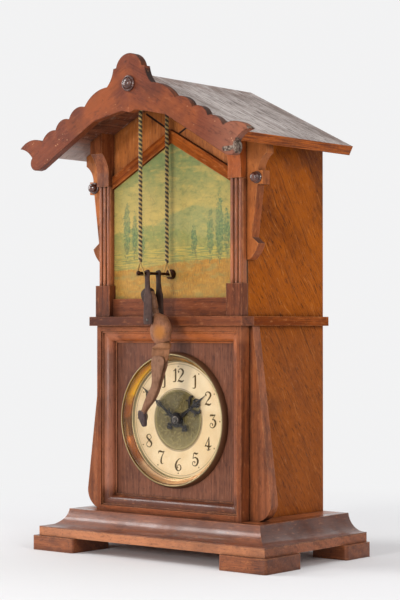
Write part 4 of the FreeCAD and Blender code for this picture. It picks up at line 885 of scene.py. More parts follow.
def stroke(bm, rows, lay, low, high, steps=6):
    """A flat stroke of changing width, from rows of along, across and width."""
    line = smooth_line(rows, steps)
    rings = []
    for i, (a, b, wide) in enumerate(line):
        before, after = line[max(i - 1, 0)], line[min(i + 1, len(line) - 1)]
        run = Vector((after[0] - before[0], after[1] - before[1])).normalized()
        side = Vector((-run.y, run.x)) * max(wide, 0.02) / 2
        rings.append([lay(a + side.x, b + side.y, high), lay(a - side.x, b - side.y, high),
                      lay(a - side.x, b - side.y, low), lay(a + side.x, b + side.y, low)])
    loft(bm, rings)


def turned(bm, profile, lay, sides, skin=0, cap=True):
    """A turned shape from rows of radius and height, laid out by lay(a, b, height)."""
    turns = [TURN * i / sides for i in range(sides)]
    rings = [[lay(r * math.cos(t), r * math.sin(t), h) for t in turns] for r, h in profile]
    loft(bm, rings, skin, cap)


def limb(bm, rows, lay, skin=0, sides=24, square=2.3, steps=5, flat=False):
    """A rounded form along rows of x, z, half width, half thickness and middle y, 0 if left out.

    Its sections stand across the line, or lie level where flat is set.
    """
    line = smooth_line([tuple(row) + (0,) * (5 - len(row)) for row in rows], steps)
    rings = []
    for i, (x, z, wide, thick, mid) in enumerate(line):
        before, after = line[max(i - 1, 0)], line[min(i + 1, len(line) - 1)]
        run = Vector((0 if flat else after[0] - before[0], after[1] - before[1])).normalized()
        points = []
        for k in range(sides):
            c, s = math.cos(TURN * k / sides), math.sin(TURN * k / sides)
            p = math.copysign(abs(c) ** (2 / square), c) * max(wide, 0.05)
            q = math.copysign(abs(s) ** (2 / square), s) * max(thick, 0.05)
            points.append(lay(x + run.y * p, mid + q, z - run.x * p))
        rings.append(points)
    return loft(bm, rings, skin)


def tube(bm, points, radius, sides, skin):
    """A round strand along points."""
    turns = [TURN * k / sides for k in range(sides)]
    normal = None
    rings = []
    for i, point in enumerate(points):
        run = (points[min(i + 1, len(points) - 1)] - points[max(i - 1, 0)]).normalized()
        if normal is None:
            normal = run.orthogonal().normalized()
        normal = (normal - run * normal.dot(run)).normalized()
        other = run.cross(normal)
        rings.append([point + (normal * math.cos(t) + other * math.sin(t)) * radius for t in turns])
    loft(bm, rings, skin)


def make(name, bm, finishes, body, nodes=(), crease=38):
    """A finished piece: its mesh, its materials, what carries it, and the parts it hides."""
    bmesh.ops.remove_doubles(bm, verts=bm.verts, dist=1e-6)
    bmesh.ops.recalc_face_normals(bm, faces=bm.faces)
    for face in bm.faces:
        face.smooth = True
    for edge in bm.edges:
        if len(edge.link_faces) == 2 and edge.calc_face_angle(0) > math.radians(crease):
            edge.smooth = False
    mesh = bpy.data.meshes.new(name)
    bm.to_mesh(mesh)
    bm.free()
    for finish in finishes:
        mesh.materials.append(finish)
    piece = bpy.data.objects.new(name, mesh)
    scene.collection.objects.link(piece)
    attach(piece, body)
    if nodes:
        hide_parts(*nodes)
    return piece


# Ropes

ROPE_WIDE = 3.2
ROPE_LAY = 3.5
STRAND_RADII = (0.72, 0.94)


def rope_line(name, route):
    """Points read from the smooth curve that runs through the route."""
    curve = bpy.data.curves.new(name, "CURVE")
    curve.dimensions = "3D"
    spline = curve.splines.new("NURBS")
    spline.points.add(len(route) - 1)
    for point, place in zip(spline.points, route):
        point.co = (*place, 1)
    spline.order_u = 3
    spline.use_endpoint_u = True
    spline.resolution_u = 150
    holder = bpy.data.objects.new(name, curve)
    scene.collection.objects.link(holder)
    bpy.context.view_layer.update()
    drawn = bpy.data.meshes.new_from_object(holder)
    line = [v.co.copy() for v in drawn.vertices]
    bpy.data.objects.remove(holder)
    bpy.data.meshes.remove(drawn)
    bpy.data.curves.remove(curve)
    return line


GOLD_YARN = cord_yarn("gold_yarn", (204, 176, 106), (140, 108, 52))
BLACK_YARN = cord_yarn("black_yarn", (68, 52, 28), (34, 25, 12))


def rope(node):
    """A two-strand rope of a gold and a black yarn, hanging from its hook to its stirrup."""
    x, y = middle(node, 0), middle(node, 1)
    bottom, top = span(node, 2)
    route = [(x, y, top), (x, y, (top + bottom) / 2), (x, y, bottom)]
    line = rope_line(node + "_line", route)
    bm = bmesh.new()
    for strand, thick in enumerate(STRAND_RADII):
        points = []
        for place in line:
            turn = TURN * (top - place.z) / ROPE_LAY + math.pi * strand
            reach = ROPE_WIDE / 2 - thick
            points.append(place + Vector((math.cos(turn), math.sin(turn), 0)) * reach)
        tube(bm, points, thick, 10, strand)
    piece = make(node + "_strands", bm, [GOLD_YARN, BLACK_YARN], "case", [node], crease=80)
    Vector(route[0]) * MM


rope("rope_front")
rope("rope_rear")


# Metals and paints

CAST_BRASS = metal("cast_brass", (188, 148, 84), (132, 98, 52), 0.36)
WIRE_BRASS = metal("wire_brass", (148, 122, 74), (96, 74, 42), 0.42)
BAR_BROWN = metal("browned_iron", (66, 42, 32), (40, 25, 19), 0.46, dark=(20, 12, 9))
PLATE_BRASS = metal("plate_brass", (214, 176, 100), (178, 138, 70), 0.32, stain=0.4)
DARK_STEEL = metal("dark_steel", (96, 90, 86), (62, 56, 52), 0.4, dark=(28, 22, 18))
BRIGHT_STEEL = metal("bright_steel", (186, 186, 188), (140, 138, 136), 0.28, dark=(70, 60, 50))
BLACK = black_enamel("black_enamel")
NUMERAL_INK = black_enamel("numeral_ink", (74, 54, 22), (124, 98, 52), 0.7, 0.02)
ARM_GREY = figure_paint("arm_grey", (78, 56, 49), (51, 35, 31), (30, 21, 18), wear=(116, 90, 78))
# The far arm takes this darker, browner copy of the arm paint.
ARM_BROWN = figure_paint("arm_brown", (64, 43, 33), (40, 26, 20), (21, 14, 11), wear=(92, 68, 53))
SKIN_TAN = figure_paint("skin_tan", (144, 96, 69), (106, 68, 46), (54, 32, 19),
                        blush=(11.0, BAR_Z - 45, 7.5, (170, 106, 40)))
LEG_TAN = figure_paint("leg_tan", (134, 96, 73), (102, 69, 49), (50, 31, 21))
TRUNKS_BROWN = figure_paint("trunks_brown", (148, 100, 68), (112, 72, 45), (52, 31, 19))
HAIR_DARK = figure_paint("hair_dark", (58, 38, 29), (35, 23, 18), (19, 13, 11), wear=(82, 58, 44))
# The shoes' pale colour along their edges is edge wear and a painted highlight.
SHOE_DARK = figure_paint("shoe_dark", (84, 68, 66), (52, 41, 40), (28, 21, 20), wear=(176, 158, 150))


# Dial

def on_dial(a, b, high):
    """A point a to the right of the dial's middle, b above it and high in front of its face."""
    return a, DIAL_FACE - high, DIAL_Z + b


PEN_WIDE, PEN_HIGH = 60, 100
NARROW_ONE = 44
DIGITS = {
    "0": [[(30, 100, 6), (12, 86, 12), (6, 50, 17), (12, 14, 12), (30, 0, 6), (48, 14, 12), (54, 50, 17),
           (48, 86, 12), (30, 100, 6)]],
    "1": [[(8, 80, 3), (20, 88, 7), (31, 99, 10)],
          [(30, 100, 13), (30, 60, 15), (30, 16, 14), (26, 5, 10), (14, 1, 6), (7, 6, 4)]],
    "2": [[(17, 73, 15), (10, 78, 12), (9, 88, 5), (20, 97, 6), (33, 99, 9), (48, 88, 15), (50, 71, 16),
           (38, 50, 12), (22, 30, 6), (6, 7, 4)],
          [(3, 3, 5), (14, 10, 12), (28, 6, 15), (42, 5, 13), (57, 15, 4)]],
    "3": [[(8, 84, 4), (12, 94, 12), (30, 94, 13), (52, 98, 5)], [(51, 98, 4), (38, 78, 5), (25, 61, 5)],
          [(25, 61, 4), (42, 60, 12), (53, 42, 17), (48, 17, 14), (30, 2, 7), (12, 7, 5), (7, 23, 5),
           (18, 36, 5), (30, 28, 7), (25, 19, 10)]],
    "4": [[(38, 99, 5), (37, 60, 12), (36, 24, 15), (33, 0, 6)], [(38, 99, 5), (22, 64, 6), (5, 32, 5)],
          [(2, 27, 4), (14, 34, 9), (32, 28, 12), (46, 29, 10), (58, 38, 4)],
          [(50, 12, 4), (40, 4, 7), (28, 2, 7), (20, 8, 4)]],
    "5": [[(12, 88, 4), (24, 96, 12), (40, 92, 13), (55, 100, 4)], [(16, 90, 6), (13, 72, 6), (9, 55, 5)],
          [(9, 55, 4), (28, 64, 9), (47, 53, 16), (51, 30, 17), (38, 6, 10), (18, 2, 6), (6, 14, 5),
           (10, 30, 5), (23, 34, 6), (28, 23, 10)]],
    "6": [[(52, 96, 4), (32, 86, 8), (14, 60, 15), (9, 32, 18), (20, 8, 13), (36, 2, 7), (50, 14, 9),
           (53, 32, 10), (42, 47, 6), (28, 44, 5), (22, 31, 6), (29, 22, 10)]],
    "7": [[(5, 78, 4), (10, 93, 12), (26, 95, 14), (42, 91, 10), (57, 99, 4)],
          [(57, 99, 4), (42, 70, 7), (31, 42, 13), (29, 15, 16), (37, 1, 6), (48, 8, 4)]],
    "8": [[(47, 84, 5), (34, 98, 6), (16, 92, 9), (11, 76, 13), (28, 57, 17), (47, 39, 18), (51, 20, 13),
           (36, 2, 7), (16, 6, 6), (8, 22, 5), (18, 40, 5), (36, 58, 5), (49, 74, 5), (47, 84, 5)]],
}
DIGITS["9"] = [[(PEN_WIDE - x, PEN_HIGH - y, w) for x, y, w in line] for line in DIGITS["6"]]
DIGIT_HIGH = 10.4
DIGIT_WIDE = 1.14
DIGIT_RING = 34.6
DOT_RING = 41.6
INK_HIGH = 0.07


def numerals():
    """Upright numerals in thick and thin pen strokes, with a dot outside each."""
    bm = bmesh.new()
    unit = DIGIT_HIGH / PEN_HIGH
    for hour in range(1, 13):
        turn = TURN * hour / 12
        word = str(hour)
        widths = [NARROW_ONE if d == "1" and len(word) > 1 else PEN_WIDE for d in word]
        left = -sum(widths) / 2
        for digit, wide in zip(word, widths):
            start = DIGIT_RING * math.sin(turn) + left * unit * DIGIT_WIDE
            foot = DIGIT_RING * math.cos(turn) - DIGIT_HIGH / 2
            for n, line in enumerate(DIGITS[digit]):
                rows = [(start + x * unit * DIGIT_WIDE, foot + y * unit, w * unit) for x, y, w in line]
                stroke(bm, rows, on_dial, -0.02, INK_HIGH + 0.004 * n, 8)
            left += wide
        dot = DOT_RING * math.sin(turn), DOT_RING * math.cos(turn)
        turned(bm, [(0.56, -0.02), (0.56, 0.04), (0.4, 0.09), (0.05, 0.1)],
               lambda a, b, h: on_dial(dot[0] + a, dot[1] + b, h), 14)
    make("dial_numerals", bm, [NUMERAL_INK], "case")


def bezel():
    """The bezel: a rolled outer edge, a sloping inner wall and a bead beside the dial."""
    face = span("front_panel", 1)[0]
    rise = face - span("bezel", 1)[0]
    drop = DIAL_FACE - face
    rim, foot = BEZEL_RIM, CONE_FOOT
    roll = [(rim, 0), (rim, 0.9), (rim - 0.15, 2.2), (rim - 0.5, 3.4), (rim - 1.0, 4.5),
            (rim - 1.5, rise - 0.5), (rim - 2.0, rise - 0.08), (rim - 2.3, rise),
            (rim - 2.55, rise - 0.2), (CONE_TOP, rise - 0.6)]
    fall = (CONE_TOP - foot) / (rise - 0.6 + drop)
    bead = [(1.3, 1.3 / fall), (0.85, 2.05), (0.55, 1.7), (0.5, 1.3), (0.65, 0.95), (0.3, 0.6), (0, 0)]
    bead = [(foot + out, high - drop) for out, high in bead]
    inside = [(foot + 1.2, -drop), (CONE_TOP, rise - 2.4), (rim - 1.4, rise - 2.4), (rim - 1.0, 0),
              (rim, 0)]
    profile = smooth_line(roll, 3) + smooth_line(bead, 3) + inside
    bm = bmesh.new()
    turned(bm, profile, lambda a, b, high: (b, face - high, DIAL_Z + a), 144, cap=False)
    make("rolled_bezel", bm, [bezel_brass()], "case", ["bezel"], crease=50)


SCROLL = [
    [(9.0, -3.0, 0.4), (11.5, -3.2, 0.8), (14.5, -2.0, 0.95), (17.0, 0.6, 1.0), (18.2, 3.4, 0.95),
     (17.0, 5.8, 0.8), (14.6, 6.2, 0.7), (13.2, 4.6, 0.6), (13.8, 3.0, 0.5), (15.2, 3.4, 0.8)],
    [(11.5, -3.2, 0.3), (12.4, -4.7, 1.3), (14.0, -5.6, 0.2)],
    [(14.5, -2.0, 0.3), (16.0, -3.2, 1.5), (18.4, -3.2, 0.2)],
    [(17.0, 0.6, 0.3), (18.7, 0.1, 1.4), (20.2, 1.0, 0.2)],
    [(18.2, 3.4, 0.3), (19.3, 4.6, 1.2), (20.0, 6.4, 0.2)],
    [(12.5, -2.6, 0.3), (13.4, -0.6, 1.4), (13.4, 1.2, 0.2)],
    [(9.8, -3.0, 0.3), (10.6, -1.0, 1.3), (11.6, 0.6, 0.2)],
    [(9.0, 1.2, 0.3), (10.2, 2.8, 1.3), (12.0, 3.4, 0.2)],
    [(16.6, 6.2, 0.3), (16.9, 7.6, 1.1), (16.0, 8.8, 0.2)],
    [(19.6, -1.2, 0.3), (20.2, -2.8, 0.9), (20.0, -4.4, 0.2)],
]
SPRAYS = 6
RIM_BEADS = 54
CENTRE_HOLE = 3.4


def dial_centre():
    """The embossed centre: scrolled leaves round a plain boss, inside a beaded rim."""
    bm = bmesh.new()
    rounds, steps = 216, 72
    turns = [TURN * k / rounds for k in range(rounds)]
    ground = DIAL_FACE - CENTRE_FACE - 0.14

    def at(radius, turn, high):
        return on_dial(radius * math.sin(turn), radius * math.cos(turn), high)

    rings = []
    for i in range(steps + 1):
        radius = CENTRE_HOLE + (CENTRE_RADIUS - CENTRE_HOLE) * i / steps
        rings.append([at(radius, t, ground + border_relief(radius, t)) for t in turns])
    edge = [at(CENTRE_RADIUS, t, 0.0) for t in turns]
    bore = [at(CENTRE_HOLE, t, 0.0) for t in turns]
    loft(bm, [bore] + rings + [edge, bore], cap=False)
    for n in range(SPRAYS):
        start = TURN * n / SPRAYS

        def lay(radius, aside, high):
            return at(radius, start + aside / radius, ground + high)

        for k, line in enumerate(SCROLL):
            stroke(bm, line, lay, -0.05, 0.19 + 0.005 * k, 5)
    make("embossed_dial_centre", bm, [chased_brass()], "case", ["dial_centre"], crease=60)


def border_relief(radius, turn):
    """Height of the centre's rim, its beads and its boss at a place."""
    def hump(value, half):
        return max(0.0, 1 - (value / half) ** 2)

    rim = CENTRE_RADIUS - 1.1
    if radius > rim - 0.95:
        return 0.24 * hump(radius - rim, 0.95)
    if radius > rim - 1.9:
        return 0.16 * hump(radius - rim + 1.4, 0.5) * (0.5 + 0.5 * math.cos(turn * RIM_BEADS))
    return 0.14 * hump(radius - 7.6, 0.6) + 0.1 * hump(radius - 5.6, 0.8)


def hand_lay(degrees, back):
    """Places along and across a hand that points clockwise from twelve."""
    turn = math.radians(degrees)

    def lay(along, across, high):
        x = along * math.sin(turn) + across * math.cos(turn)
        z = along * math.cos(turn) - across * math.sin(turn)
        return x, back - high, DIAL_Z + z

    return lay


HAND_BORE = 2.05
LOBE = 1.35


def hand(name, node, body, degrees, boss, stems, leaves, tail):
    """A pierced hand: a stem with mirrored scrolls, a boss and a three-lobed tail."""
    front, back = span(node, 1)
    thick = back - front
    lay = hand_lay(degrees, back)
    bm = bmesh.new()
    for line in stems:
        stroke(bm, line, lay, 0.06, thick)
    for n, line in enumerate(leaves):
        high = thick - 0.03 - 0.015 * n
        stroke(bm, line, lay, 0.08, high)
        stroke(bm, [(a, -b, w) for a, b, w in line], lay, 0.08, high)
    rim = thick + 0.06
    turned(bm, [(boss, 0), (boss, rim), (HAND_BORE, rim), (HAND_BORE, 0), (boss, 0)], lay, 40, cap=False)
    for along, across in ((tail - 0.2, 0), (tail + 1.7, 1.75), (tail + 1.7, -1.75)):
        turned(bm, [(LOBE, 0.05), (LOBE, thick - 0.14), (LOBE - 0.3, thick - 0.05), (0.1, thick - 0.02)],
               lambda a, b, h: lay(along + a, across + b, h), 20)
    make(name, bm, [BLACK], body, [node])


HOUR_STEMS = [[(3.6, 0, 3.0), (7, 0, 3.4), (11, 0, 2.6), (15, 0, 2.0), (19, 0, 2.2), (23, 0, 2.6),
               (27.5, 0, 1.5), (34.4, 0, 0.2)],
              [(-3.6, 0, 3.4), (-6, 0, 2.6), (-9.6, 0, 2.0)]]
HOUR_LEAVES = [[(15.0, 0.4, 1.0), (16.8, 2.4, 2.0), (18.6, 4.8, 2.4), (21.0, 7.0, 2.0), (23.4, 6.8, 1.4),
                (23.6, 5.4, 0.8)],
               [(20.6, 0.4, 0.8), (22.8, 2.6, 1.7), (25.4, 2.6, 1.3), (27.4, 0.6, 0.5)],
               [(18.4, 4.6, 1.2), (17.6, 6.6, 1.5), (15.8, 7.4, 0.5)]]
MINUTE_STEMS = [[(2.8, 0, 2.4), (6, 0, 3.0), (9, 0, 3.4), (12, 0, 2.2), (17, 0, 1.5), (27, 0, 1.2),
                 (36, 0, 1.3), (42.5, 0, 0.2)],
                [(-2.8, 0, 3.0), (-6, 0, 2.4), (-9, 0, 1.8), (-11.6, 0, 1.6)]]
MINUTE_LEAVES = [[(8.6, 0.8, 0.6), (9.6, 2.6, 1.0), (11.4, 3.0, 0.4)],
                 [(33.6, 0.2, 0.7), (35.0, 1.6, 1.0), (34.6, 3.0, 0.4)],
                 [(18.0, 0.3, 0.4), (20.0, 1.6, 0.9), (22.6, 1.6, 0.7), (24.4, 0.4, 0.3)]]

bezel()
numerals()
dial_centre()
hand("hour_hand_pierced", "hour_hand", "hour", 55.5, 5.9, HOUR_STEMS, HOUR_LEAVES, -10.4)
hand("minute_hand_pierced", "minute_hand", "minute", 306.0, 4.9, MINUTE_STEMS, MINUTE_LEAVES, -12.4)


def hand_collet():
    """The domed washer and nut that hold the minute hand on its pipe."""
    front = span("minute_hand", 1)[0]
    lay = hand_lay(0, front)
    bm = bmesh.new()
    turned(bm, [(3.1, -0.02), (3.2, 0.2), (2.9, 0.5), (2.4, 0.68), (2.1, 0.72), (2.1, 1.5), (1.9, 1.72),
                (1.2, 1.78), (1.0, 1.6), (0.3, 1.56)], lay, 36)
    make("hand_collet", bm, [DARK_STEEL], "minute")


hand_collet()


# Acrobat

def on_figure(x, y, z):
    """A point of the acrobat, from the bar's middle line."""
    return x, FIGURE_Y + y, BAR_Z + z


ARM_ROWS = [(0.3, 2.6, 0.5), (0.4, 2.2, 1.7), (0.5, 0.9, 2.5), (0.5, -1.4, 2.4), (0.6, -3.4, 2.0),
            (0.8, -8, 2.1), (1.2, -13, 2.6), (1.3, -14.8, 3.0), (1.4, -16.2, 3.6), (1.4, -18.4, 3.8),
            (1.4, -25, 3.9), (1.4, -32, 4.2), (1.3, -36.4, 4.1), (1.25, -38.4, 3.7), (1.25, -39.0, 1.8)]
ARM_Y = 6.5
SHOULDER_X, SHOULDER_Z = 1.6, -35.6


def acrobat_arms():
    """Two flat carved arms with the hands closed on the bar, and the shoulder pin's heads."""
    bm = bmesh.new()
    for side in (-1, 1):
        mid = side * ARM_Y
        # The far arm takes the darker copy of the arm paint.
        paint = 0 if side < 0 else 2
        rows = [(x, z, wide, 1.15 if wide > 1 else 0.7, mid) for x, z, wide in ARM_ROWS]
        limb(bm, rows, on_figure, paint, 24, 3.4)

        def pin(a, b, high):
            return on_figure(SHOULDER_X + a, mid + side * (1.05 + high), SHOULDER_Z + b)

        turned(bm, [(1.2, 0), (1.2, 0.25), (0.95, 0.6), (0.5, 0.8), (0.1, 0.84)], pin, 18, 1)
        inner, outer = mid + side * 0.9, mid + side * 1.2
        for n in range(3):
            low = 1.2 - n * 1.25
            finger = [(-2.3, low, 0.3, 0.3, inner), (-1.6, low, 0.62, 0.5, outer),
                      (1.2, low - 0.1, 0.62, 0.5, outer), (2.2, low - 0.1, 0.3, 0.3, inner)]
            limb(bm, finger, on_figure, paint, 12, 2.2, 3)
    make("acrobat_arm_pair", bm, [ARM_GREY, DARK_STEEL, ARM_BROWN], "trapeze",
         ["acrobat_arms"], crease=70)


HEAD_LEAN = math.radians(-24)
HEAD_SIZE = 1.19
NECK_FOOT, NECK_LONG = -31.5, 3.0


def lean_head(faces):
    """The head tipped back about the neck, with the neck drawn along."""
    neck = Vector(on_figure(3.0, 0, -28.5)) * MM
    turn = Matrix.Rotation(HEAD_LEAN, 3, "Y")
    for vert in {vert for face in faces for vert in face.verts}:
        share = min(1.0, max(0.0, (vert.co.z / MM - BAR_Z - NECK_FOOT) / NECK_LONG))
        vert.co = vert.co.lerp(neck + turn @ (vert.co - neck) * HEAD_SIZE, share)


CHEST_ROWS = [(3.6, -30.8, 1.0, 1.4), (4.0, -31.6, 3.0, 3.2), (5.2, -34, 5.3, 4.2),
              (7.4, -37.6, 8.0, 4.75), (8.6, -42, 9.7, 4.85), (9.6, -47, 9.4, 4.75),
              (10.9, -50.4, 7.3, 4.4), (11.7, -52.2, 6.0, 4.0), (11.9, -53.0, 4.8, 3.2)]
TRUNKS_ROWS = [(11.9, -52.6, 4.6, 3.0), (11.8, -53.3, 5.6, 3.7), (11.0, -54.8, 7.0, 4.0),
               (9.8, -56.2, 8.2, 3.9), (9.0, -57.2, 8.6, 3.3), (8.7, -57.7, 8.6, 2.2),
               (8.6, -58.0, 8.6, 0.95), (8.2, -61, 8.8, 0.86), (8.0, -64.5, 8.0, 0.86),
               (7.8, -68, 5.6, 0.8), (7.8, -71, 1.2, 0.6)]
HEAD_ROWS = [(3.6, -32.4, 2.6, 2.6), (3.0, -29.4, 2.3, 2.3), (2.4, -27.0, 2.4, 2.4),
             (2.8, -25.8, 3.1, 2.8), (2.7, -23.6, 3.7, 3.3), (2.2, -20.3, 4.3, 3.8),
             (1.8, -17.0, 4.4, 3.9), (1.5, -14.4, 3.5, 3.1), (1.4, -12.8, 1.0, 1.0)]
NOSE_ROWS = [(5.8, -19.3, 0.15, 0.15), (6.2, -20.3, 0.4, 0.45), (6.65, -21.8, 0.55, 0.75),
             (5.9, -22.4, 0.3, 0.5)]
EYE_ROWS = [(4.8, -20.2, 0.1, 0.1, 2.2), (5.4, -20.05, 0.3, 0.2, 1.9), (5.7, -20.2, 0.1, 0.1, 1.3)]
BROW_ROWS = [(4.7, -18.9, 0.1, 0.1, 2.5), (5.65, -18.6, 0.25, 0.2, 1.7), (5.9, -18.9, 0.1, 0.1, 0.8)]
EAR_ROWS = [(1.5, -19.3, 0.2, 0.2, 3.6), (1.8, -20.5, 0.7, 0.45, 3.85), (2.1, -21.9, 0.5, 0.35, 3.6),
            (2.3, -22.5, 0.1, 0.1, 3.3)]
LIP_ROWS = [(5.5, -23.8, 0.1, 0.1, 1.2), (6.0, -23.75, 0.22, 0.2, 0.5), (6.1, -23.8, 0.22, 0.2, -0.1)]
SKIN, TRUNKS, PALE_SKIN, HAIR = range(4)
FACE_PAIRS = ((EYE_ROWS, HAIR, 10), (BROW_ROWS, HAIR, 10), (EAR_ROWS, PALE_SKIN, 12),
              (LIP_ROWS, SKIN, 10))
NAPE, FRINGE = -26.4, -16.4


def paint_hair(faces):
    """Hair over the top and back of the head, a little thicker than the skin."""
    middle_of_head = Vector(on_figure(1.9, 0, -20.3)) * MM
    for face in faces:
        spot = face.calc_center_median() / MM
        x, z = spot.x, spot.z - BAR_Z
        if z > NAPE and (z > FRINGE or x < 2.2 + (z - NAPE) * 0.16):
            face.material_index = HAIR
            for vert in face.verts:
                vert.co += (vert.co - middle_of_head) * 0.03


def acrobat_body():
    """Chest, trunks and head, carved in one and painted."""
    bm = bmesh.new()
    limb(bm, CHEST_ROWS, on_figure, SKIN, 32, 2.5)
    limb(bm, TRUNKS_ROWS, on_figure, TRUNKS, 32, 2.5, flat=True)
    head = limb(bm, HEAD_ROWS, on_figure, PALE_SKIN, 32, 2.1)
    paint_hair(head)
    head += limb(bm, NOSE_ROWS, on_figure, PALE_SKIN, 12, 2, 4)
    for side in (-1, 1):
        for rows, skin, sides in FACE_PAIRS:
            rows = [(x, z, wide, thick, side * y) for x, z, wide, thick, y in rows]
            head += limb(bm, rows, on_figure, skin, sides, 2, 3)
    lean_head(head)
    make("acrobat_body", bm, [SKIN_TAN, TRUNKS_BROWN, LEG_TAN, HAIR_DARK], "trunk",
         ["acrobat_trunk"], crease=75)


LEG_ROWS = [(7.6, -62.9, 1.6), (7.6, -63.6, 4.2), (7.6, -65.6, 6.2), (7.4, -69, 6.3), (6.8, -73, 5.6),
            (6.1, -78, 4.6), (5.4, -82.6, 3.8), (4.4, -86.6, 3.4), (2.6, -90.4, 3.5), (0.2, -94.2, 3.6),
            (-2.2, -97.8, 3.2), (-4.6, -101.2, 2.5), (-6.7, -104.8, 2.0), (-7.7, -106.8, 2.0)]
SHOE_ROWS = [(-9.0, -105.4, 2.2), (-9.2, -106.6, 3.0), (-9.1, -108.8, 3.3), (-8.3, -111.6, 2.8),
             (-7.3, -114.4, 2.1), (-6.6, -116.4, 1.4), (-6.3, -117.4, 0.5)]
CUFF_ROWS = [(-12.0, -106.0, 0.2, 1.1), (-10.8, -106.3, 0.5, 1.2), (-6.8, -106.7, 0.5, 1.2),
             (-5.6, -106.9, 0.2, 1.1)]
LEG_Y = 2.3
HIP_X, HIP_Z = 9.0, -66.5
LEG_SPREAD = 0.05


def acrobat_legs():
    """Two legs, the far one a little further back, in dark pointed shoes."""
    bm = bmesh.new()
    for side in (-1, 1):
        def lay(x, y, z):
            back = LEG_SPREAD * (HIP_Z - z) if side > 0 else 0.0
            return on_figure(x - back, side * LEG_Y + y, z)

        limb(bm, [(x, z, wide, 1.08 if wide > 2 else 0.8) for x, z, wide in LEG_ROWS], lay, 0, 28, 2.8)
        limb(bm, [(x, z, wide, 1.12 if wide > 1 else 0.6) for x, z, wide in SHOE_ROWS], lay, 1, 24, 2.6)
        limb(bm, CUFF_ROWS, lay, 1, 16, 2.4, 4)
        turned(bm, [(1.0, -0.3), (1.0, 0.2), (0.75, 0.42), (0.1, 0.5)],
               lambda a, b, h: lay(HIP_X + a, side * (1.0 + h), HIP_Z + b), 16)
    make("acrobat_leg_pair", bm, [LEG_TAN, SHOE_DARK], "legs", ["acrobat_legs"], crease=70)


acrobat_arms()
acrobat_body()
acrobat_legs()


# Turned buttons

BUTTON_HIGH = 5.5
CREST_RADIUS = 6.0
WING_RADIUS = 4.6
CREST_TURNING = [(6.0, 0.0), (6.0, 0.9), (5.8, 1.3), (5.3, 1.5), (4.8, 1.3), (4.5, 1.0), (4.2, 1.2),
                 (3.9, 2.0), (3.3, 2.9), (2.3, 3.6), (1.2, 3.95), (0.1, 4.05)]
WING_TURNING = [(4.6, 0.0), (4.6, 0.7), (4.3, 1.0), (3.5, 1.2), (3.2, 1.6), (3.6, 2.3), (3.8, 3.1),
                (3.6, 4.0), (2.9, 4.8), (1.8, 5.3), (0.1, 5.5)]


def turned_buttons():
    """A low ringed button on the crest of the roof and a ball on each upper wing."""
    bm = bmesh.new()
    (left, right), (front, back), (low, high) = [span("turned_buttons", axis) for axis in range(3)]
    places = [(0.0, front + BUTTON_HIGH, high - CREST_RADIUS, CREST_TURNING)]
    for x in (left + WING_RADIUS, right - WING_RADIUS):
        places.append((x, back, low + WING_RADIUS, WING_TURNING))
    for x, face, z, turning in places:
        turned(bm, smooth_line(turning, 3), lambda a, b, h: (x + a, face - h, z + b), 48)
    make("turned_button_set", bm, [button_wood()], "case", ["turned_buttons"], crease=50)


turned_buttons()


# Fastenings behind

def from_behind(x, face, z):
    """Places round a point on a face that looks backwards."""
    def lay(a, b, high):
        return x + a, face + high, z + b

    return lay


def slotted_screw(bm, lay, radius, turn):
    """A raised screw head cut across by its slot."""
    half = 0.16 * radius
    cut = math.asin(half / radius)
    for flip in (0, math.pi):
        rings = []
        for reach, high in ((1.0, -0.05), (1.0, 0.12), (0.9, 0.26), (0.6, 0.36), (0.3, 0.4)):
            rim = []
            for i in range(17):
                t = cut + (math.pi - 2 * cut) * i / 16
                across = max(radius * reach * math.sin(t), half)
                along = radius * reach * math.cos(t)
                side = turn + flip
                rim.append(lay(along * math.cos(side) - across * math.sin(side),
                               along * math.sin(side) + across * math.cos(side), high * radius))
            rings.append(rim)
        loft(bm, rings)


HINGE_HIGH = 24.0
HINGE_LEAF = 0.9
HINGE_SCREWS = (4.0, 12.0, 20.0)
SCREW_RADIUS = 1.5
SCREW_INSET, SCREW_STAGGER = 5.0, 2.0


def hinge_screws():
    """Three slotted screws through each hinge leaf into the door."""
    bm = bmesh.new()
    low, high = span("hinge_door_leaves", 2)
    x = span("hinge_door_leaves", 0)[1] - SCREW_INSET
    face = span("rear_door", 1)[1] + HINGE_LEAF
    for n, foot in enumerate((low, high - HINGE_HIGH)):
        for k, rise in enumerate(HINGE_SCREWS):
            aside = SCREW_STAGGER if k == 1 else 0.0
            turn = 0.7 + 1.1 * k + 0.6 * n
            slotted_screw(bm, from_behind(x + aside, face, foot + rise), SCREW_RADIUS, turn)
    make("hinge_screws", bm, [DARK_STEEL], "door", crease=40)


PILLAR_INSET = 5.0


def plate_nuts():
    """Washers, six-sided nuts and stud ends that hold the movement's back plate on its pillars."""
    bm = bmesh.new()
    face = span("movement_back_plate", 1)[1]
    half = span("movement_back_plate", 0)[1] - PILLAR_INSET
    for side in (-1, 1):
        for row in (-1, 1):
            lay = from_behind(side * half, face, DIAL_Z + row * half)
            turned(bm, [(3.4, -0.05), (3.4, 0.35), (3.1, 0.5), (0.5, 0.5)], lay, 30)
            turned(bm, [(2.5, 0.45), (2.75, 0.7), (2.75, 1.9), (2.4, 2.2), (0.5, 2.25)], lay, 6)
            turned(bm, [(1.25, 2.2), (1.25, 3.0), (0.95, 3.3), (0.1, 3.35)], lay, 20)
    make("plate_nuts", bm, [BRIGHT_STEEL], "case", crease=40)


hinge_screws()
plate_nuts()


# The case and its works keep their own shapes and take these finishes

